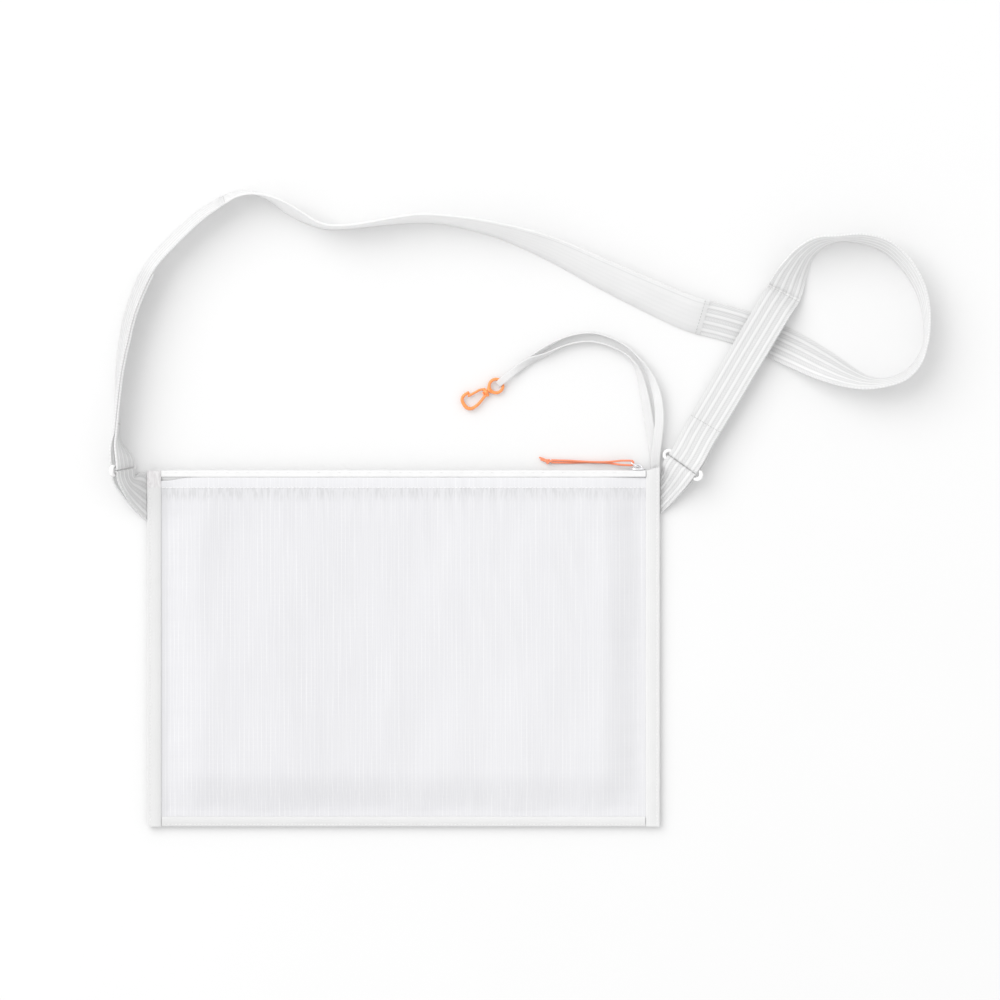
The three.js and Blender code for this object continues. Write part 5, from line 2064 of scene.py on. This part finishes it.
@dataclass
class ShoulderStrap:
    """The strap in three lengths: two ribbed ends, doubled at their rings, and a plain middle."""

    pouch: Pouch
    right: StrapRing
    left: StrapRing
    band: Band = STRAP_BAND
    plain: Band = Band(25.0, 1.5)
    rise: float = 195.7
    sewn: float = 114.0
    loop: float = 26.0
    right_radius: float = 2.25
    left_radius: float = 2.4
    per_row: int = 9
    stitch_pitch: float = 2.1

    def places(self, rows: tuple) -> Array:
        """Gives where a route's rows are, seen from above."""
        half, top = self.pouch.half, self.pouch.top
        return np.array([vec(row[0] * half, top + row[1] * self.rise) for row in rows])

    def from_ring(self, ring: StrapRing, rows: tuple) -> Run:
        """Gives an end length's run, turning smoothly from its ring's bar to its route.

        Args:
            ring: the ring.
            rows: the route's table.

        Returns:
            The line between the length's two layers.
        """
        route = read_route(rows, self.band, self.places(rows), self.per_row)
        bar = ring.bar(1)
        start = Place(bar.centre, bar.away, bar.across)
        end = Place(route.centres[0], headings(route.centres)[0], route.across[0])
        return bend(start, end, 26, self.band, False) + route

    def match(self, middle: Run, i: int, other: Run, way: int) -> None:
        """Cuts the middle length's end along the line of the end length that it meets.

        Args:
            middle: the middle length.
            i: its first or last place.
            other: the end length.
            way: 1 where the two run alike across, and -1 where they are opposed.
        """
        middle.across[i] = other.spans()[-1] * way
        middle.slanted[i] = True
        ends = ((middle, i, 1 if i == 0 else -1), (other, len(other.centres) - 1, -1))
        for run, k, sign in ends:
            run.centres[k] = run.centres[k] + headings(run.centres)[k] * sign * GAP * 0.2

    def cross_line(self, run: Run, i: int, lift: float) -> tuple[Array, Array]:
        """Gives a line of stitches straight across a band.

        Args:
            run: the band's line.
            i: which place of it.
            lift: how high the stitches are over its middle.

        Returns:
            The line's places and their ways up.
        """
        span, normal = run.spans()[i], run.normals()[i]
        at = np.linspace(-0.46, 0.46, 9)[:, None]
        points = run.centres[i] + span * at + normal * lift
        return points, np.tile(normal, (len(points), 1))

    def seam_roll(self, name: str, run: Run, i: int) -> Piece:
        """Makes the narrow turned seam that joins two lengths of the strap.

        Args:
            name: the piece's name.
            run: the middle length's line.
            i: the place of the seam on it.

        Returns:
            The dressed seam.
        """
        span, way = run.spans()[i], headings(run.centres)[i]
        cover = Band(self.band.width + 0.3, self.band.thick + 0.35)
        line = run.centres[i] + way * np.linspace(-1.15, 1.15, 5)[:, None]
        short = Run.even(line, np.tile(unit(span), (5, 1)), cover.width, False)
        return PLAIN_WEBBING.make(cover.sweep(short), name, TAPE_CREASE)

    def build(self) -> None:
        """Builds and dresses the strap with its seams and stitches."""
        right = self.from_ring(self.right, RIGHT_ROUTE)
        left = self.from_ring(self.left, LEFT_ROUTE)
        middle = read_route(MIDDLE_ROUTE, self.plain, self.places(MIDDLE_ROUTE), self.per_row)
        self.match(middle, 0, left, 1)
        self.match(middle, len(middle.centres) - 1, right, -1)
        sewn_end = self.sewn + self.loop
        seam = Seam()
        made = []
        sides = ((self.right, right, self.right_radius), (self.left, left, self.left_radius))
        for ring, run, radius in sides:
            whole = looped(run, ring.bar(1), self.band, (sewn_end, self.loop), radius)
            name = ring.name.replace("_ring", "_webbing")
            made.append(RIBBED.make(self.band.sweep(whole), f"{name}_band", RIB_CREASE, name))
            lift = self.band.thick + GAP / 2 + 0.1
            for distance in (self.loop + 4, sewn_end - 2.4):
                seam.add(*self.cross_line(run, run.at(distance), lift))
        form, name = self.plain.sweep(middle), "middle_webbing"
        made.append(PLAIN_WEBBING.make(form, f"{name}_band", TAPE_CREASE, name))
        last = len(middle.centres) - 1
        made.append(self.seam_roll("left_strap_seam", middle, 0))
        made.append(self.seam_roll("right_strap_seam", middle, last))
        for i in (2, last - 2):
            for side in (1, -1):
                points, ups = self.cross_line(middle, i, side * (self.plain.thick / 2 + 0.05))
                seam.add(points, ups * side)
        one = stitch(self.stitch_pitch * 0.78, 0.45)
        row = ROWS.row("strap_stitches", seam, one, self.stitch_pitch, STRAP_THREAD_PAINTED_SHADE)
        report(*made, STRAP_THREAD_PAINTED_SHADE.dress(row))


@dataclass
class Tab:
    """A short doubled webbing from the pouch's side seam to a ring."""

    pouch: Pouch
    ring: StrapRing
    side: Side
    seam_top: float
    seam_low: float
    band: Band = STRAP_BAND
    turn: float = 0.35
    radius: float = 2.2
    gathered: float = 3.2
    gather_run: float = 17.0

    def build(self) -> None:
        """Builds and dresses the tab."""
        sign = self.side.value
        bar = self.ring.bar(-1)
        y = self.pouch.top - (self.seam_top + self.seam_low) / 2
        root = vec(sign * (self.pouch.half + GAP * 2), y, self.band.thick + GAP)
        across = vec(0, sign * (self.seam_top - self.seam_low))
        way = unit(unit((root - bar.centre) * vec(1, 1, 0)) + vec(-sign * self.turn, 0))
        start = Place(bar.centre, bar.away, unit(bar.across) * self.band.width)
        run = bend(start, Place(root, way, across), 40, self.band, True)
        run = run + Run.even(root[None], across[None], self.band.width, True)
        length = float(travelled(run.centres)[-1])
        whole = looped(run, bar, self.band, (length, length * 0.6), self.radius)
        name = self.ring.name.replace("_ring", "_tab")
        to_root = np.linalg.norm(whole.centres - root, axis=1)
        groove = 1 + (self.gathered - 1) * (1 - ease(to_root / self.gather_run))
        form = self.band.sweep(whole, groove)
        report(RIBBED.make(form, f"{name}_band", RIB_CREASE, name))


# Lanyard and hook


INNER_STRAND = (
    (0.000, 0.000, 0, 1.2), (0.005, 0.108, -6, 1.2), (0.018, 0.217, -12, 1.2),
    (0.035, 0.325, -16, 1.2), (0.053, 0.448, -20, 1.2), (0.076, 0.578, -34, 1.0),
    (0.105, 0.700, -60, 0.6), (0.150, 0.790, -82, 0.3), (0.217, 0.852, -90, 0.2),
    (0.327, 0.907, -94, 0.0), (0.438, 0.928, -95, 0.0), (0.575, 0.902, -92, 0.0),
    (0.718, 0.828, -70, 0.4), (0.833, 0.776, -36, 2.0), (0.940, 0.690, -6, 3.2),
)
OUTER_STRAND = (
    (0.000, 0.000, 0, 2.6), (-0.005, 0.108, -6, 3.0), (-0.016, 0.217, -12, 3.9),
    (-0.026, 0.325, -16, 4.6), (-0.025, 0.448, -20, 4.6), (-0.004, 0.578, -34, 3.6),
    (0.044, 0.704, -60, 2.0), (0.106, 0.802, -82, 0.8), (0.180, 0.884, -86, 0.3),
    (0.288, 0.953, -93, 0.0), (0.412, 0.989, -95, 0.0), (0.549, 0.970, -93, 0.0),
    (0.685, 0.900, -78, 0.0), (0.820, 0.788, -40, 0.0), (0.930, 0.697, -6, 0.0),
)


@dataclass
class SnapHook:
    """The orange hook and the eye that it turns on."""

    eye_bar: Array
    lanyard_way: Array
    bar: float = 2.3
    gate_bar: float = 1.7
    length: float = 18.9
    wide: float = 10.7
    eye_radius: float = 4.8
    eye_wire: float = 2.2
    neck_to_eye: float = 7.0
    neck_length: float = 2.6
    neck_wide: float = 4.6
    peg: float = 1.6
    peg_head: float = 2.6
    head_long: float = 0.9
    heading: float = 211.8
    fairing: float = 48.0
    cross: float = 2.35
    bow: tuple = (
        (0.06, 0.10), (0.22, 0.20), (0.44, 0.34), (0.65, 0.42), (0.86, 0.40),
        (0.98, 0.18), (1.00, -0.22), (0.955, -0.45), (0.83, -0.58), (0.65, -0.60),
    )
    gate: tuple = ((0.06, -0.12), (0.12, -0.27), (0.22, -0.345), (0.45, -0.37), (0.68, -0.395))

    @property
    def way(self) -> Array:
        """The way from the neck to the hook's nose."""
        return turned(self.heading)

    @property
    def eye_centre(self) -> Array:
        """The middle of the round eye."""
        return self.eye_bar - self.lanyard_way * self.eye_radius

    def point(self, x: float, y: float, z: float = 0.0) -> Array:
        """Gives a place on the hook's own axes, from its neck."""
        side = vec(-self.way[1], self.way[0])
        neck = self.eye_centre + self.way * self.neck_to_eye
        return neck + self.way * x + side * y + UP * z

    def along_axis(self, start: float, end: float, diameter: float, crown: float = 0.0) -> Skin:
        """Makes a turned form on the hook's axis.

        Args:
            start: where it starts, from the neck.
            end: where it ends.
            diameter: how thick it is.
            crown: how far its ends are eased.

        Returns:
            The closed form.
        """
        at = [start, start + crown, end - crown, end] if crown else [start, end]
        line = np.array([self.point(x, 0.0) for x in at])
        radii = np.full(len(line), diameter / 2)
        if crown:
            radii[[0, -1]] -= crown * 0.7
        return tube(line, radii, 28)

    def eye(self) -> Piece:
        """Makes the eye with its collar and the headed peg that the hook turns on."""
        angle = np.linspace(0, 2 * math.pi, 72, endpoint=False)
        circle = rows_of(np.cos(angle), np.sin(angle), 0.0)
        ring = tube(self.eye_centre + circle * self.eye_radius, self.eye_wire / 2, 18, looped=True)
        inward = self.eye_radius - self.neck_to_eye
        peg_end = self.neck_length + GAP
        parts = [
            ring,
            self.along_axis(inward, -GAP, self.neck_wide * 0.82, 0.35),
            self.along_axis(inward, peg_end + self.head_long / 2, self.peg),
            self.along_axis(peg_end, peg_end + self.head_long, self.peg_head, 0.2),
        ]
        for side in (1, -1):
            lean = math.radians(self.heading + side * self.fairing)
            on_ring = self.eye_centre + vec(math.cos(lean), math.sin(lean)) * self.eye_radius
            foot = self.point(-GAP - 0.9, side * self.neck_wide * 0.27)
            parts.append(rod(np.array([on_ring, foot]), self.eye_wire * 0.42, 14))
        made = fused("hook_eye_ring", parts, 0.14, 3)
        return ORANGE_PLASTIC.dress(made, "hook_eye")

    def body(self) -> Piece:
        """Makes the hook: its barrel, its bow that thickens to the nose, and its gate."""
        bow = np.array([self.point(a * self.length, s * self.wide) for a, s in self.bow])
        line = through(bow, np.linspace(0, 1, 80))
        line, radii = rounded_end(line, self.bar / 2)
        share = np.linspace(0, 1, len(line))
        radii = radii * (0.9 + 0.18 * bump_of(share, 0.58, 0.22))
        gate = np.array([self.point(a * self.length, s * self.wide) for a, s in self.gate])
        tongue = rod(through(gate, np.linspace(0, 1, 40)), self.gate_bar / 2, 20, flat=1.25)
        tip = gate[-1] - self.way * 0.9 + vec(0, 0.3)
        catch = rod(np.array([gate[-1], tip]), self.gate_bar * 0.55, 16)
        barrel = self.along_axis(0.0, self.neck_length, self.neck_wide, 0.4)
        across = [self.point(self.neck_length * 0.5, y) for y in (-self.cross, self.cross)]
        shoulder = rod(np.array(across), self.bar / 2, 20)
        parts = [tube(line, radii, 24), tongue, catch, barrel, shoulder]
        made = fused("snap_hook", parts, 0.15, 3)
        inside_end = self.neck_length + 2 * GAP + self.head_long
        drilled(made, [
            self.along_axis(-GAP, self.neck_length + GAP, self.peg + 2 * GAP),
            self.along_axis(self.neck_length - GAP / 3, inside_end, self.peg_head + 2 * GAP),
        ])
        return ORANGE_PLASTIC.dress(made, "hook_body", body="hook")

    def build(self) -> None:
        """Builds and dresses the eye and the hook."""
        report(self.eye(), self.body())


@dataclass
class Lanyard:
    """One narrow ribbon, doubled, from the zip corner to the hook's eye."""

    pouch: Pouch
    band: Band = Band(6.5, 1.0)
    reach_left: float = 108.0
    rise: float = 97.4
    root_inset: float = 3.4
    heading: float = 40.0
    eye_width: float = 4.8
    gather_run: float = 26.0
    eye_wire: float = 2.2
    turn_run: float = 3.0
    eye_up: float = 0.637
    per_row: int = 9

    @property
    def turn_rise(self) -> float:
        """Half the height of the ribbon's turn round the eye."""
        return self.eye_wire / 2 + GAP * 1.5 + self.band.thick / 2

    @property
    def eye_bar(self) -> Array:
        """Where the ribbon turns round the eye."""
        place = self.places(((1.0, self.eye_up),))[0]
        return vec(place[0], place[1], self.band.thick / 2 + GAP / 2 + self.turn_rise)

    def places(self, rows: tuple) -> Array:
        """Gives where a strand's rows are, seen from above."""
        root = vec(self.pouch.half - self.root_inset, self.pouch.top + GAP)
        return np.array([root + vec(-r[0] * self.reach_left, r[1] * self.rise) for r in rows])

    def strand(self, rows: tuple) -> Run:
        """Gives a strand's run, gathered narrower towards the eye.

        Args:
            rows: the strand's table.

        Returns:
            The run.
        """
        run = read_route(rows, self.band, self.places(rows), self.per_row)
        distance = travelled(run.centres)
        near = ease(1 - (distance[-1] - distance) / self.gather_run)
        run.widths = mix(self.band.width, self.eye_width, near)
        return run

    def turn(self) -> Run:
        """Gives the oval turn round the eye."""
        way = turned(self.heading)
        angle = (math.pi / 2 + np.linspace(0, math.pi, 17))[:, None]
        centres = self.eye_bar + way * self.turn_run * np.cos(angle)
        centres = centres + UP * self.turn_rise * np.sin(angle)
        across = np.tile(vec(way[1], -way[0]), (len(centres), 1))
        return Run.even(centres, across, self.eye_width, False)

    def build(self) -> None:
        """Builds and dresses the two strands."""
        inner, outer = self.strand(INNER_STRAND) + self.turn(), self.strand(OUTER_STRAND)
        for name, run in (("lanyard_inner", inner), ("lanyard_outer", outer)):
            form = self.band.sweep(run)
            report(LANYARD_RIBBON.make(form, f"{name}_ribbon", TAPE_CREASE, name))


# Studio


@dataclass
class Studio:
    """The pale floor, the soft light from the upper left, and the camera straight above."""

    scale: float = 0.703
    centre: tuple[float, float] = (67.7, 104.2)
    high: float = 3.5
    sensor: float = 36.0
    key_way: tuple[float, float, float] = (-0.52, 0.45, 0.726)
    key_far: float = 6.0
    key_size: float = 5.2
    key_power: float = 262.0
    fill: float = 1.02
    floor_reach: float = 4000.0
    floor_low: float = -6.0
    floor_top: float = -0.05

    def build(self) -> None:
        """Sets the floor, the lights and the camera."""
        scene = bpy.context.scene
        scene.view_settings.view_transform = "Standard"
        target = vec(*self.centre) * MM
        half = PHOTO_SIZE * self.scale * MM / 2
        data = bpy.data.cameras.new("camera")
        data.sensor_width = self.sensor
        data.lens = self.sensor / 2 / (half / self.high)
        scene.camera = placed("camera", data)
        scene.camera.location = Vector(target + UP * self.high)
        lamp = bpy.data.lights.new("key", "AREA")
        lamp.size = self.key_size
        lamp.energy = self.key_power
        key = placed("key", lamp)
        key.location = Vector(target + unit(vec(*self.key_way)) * self.key_far)
        key.rotation_mode = "QUATERNION"
        key.rotation_quaternion = Vector(self.key_way).to_track_quat("Z", "Y")
        world = bpy.data.worlds.new("studio")
        world.use_nodes = True
        light = world.node_tree.nodes["Background"].inputs
        light["Color"].default_value = (1, 1, 1, 1)
        light["Strength"].default_value = self.fill
        scene.world = world
        reach = self.floor_reach
        low = vec(-reach, -reach, self.floor_low)
        floor = box(low, vec(reach, reach, self.floor_top)).piece("floor")
        floor.data.materials.append(FLOOR_TOP.material())
        log.info("studio set")


def main() -> None:
    """Builds the whole bag."""
    logging.basicConfig(level=logging.INFO, format="%(name)s: %(message)s")
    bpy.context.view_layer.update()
    Studio().build()
    pouch = Pouch()
    zip_line = Zip(pouch)
    right = StrapRing("right_ring", pouch, 0.636, 0.152, 0.32, -36, 20, (0.588, 0.809))
    left = StrapRing("left_ring", pouch, -0.655, 0.04, 0.64, 14.3, -64, (0.0, 1.0))
    lanyard = Lanyard(pouch)
    ZipPull(zip_line).build()
    pouch.build()
    zip_line.build()
    right.build()
    left.build()
    ShoulderStrap(pouch, right, left).build()
    Tab(pouch, right, Side.RIGHT, 1.4, 30.7).build()
    Tab(pouch, left, Side.LEFT, 2.5, 35.6, gathered=1.5).build()
    lanyard.build()
    SnapHook(lanyard.eye_bar, turned(lanyard.heading)).build()
    bpy.context.view_layer.update()


if __name__ == "__main__":
    main()
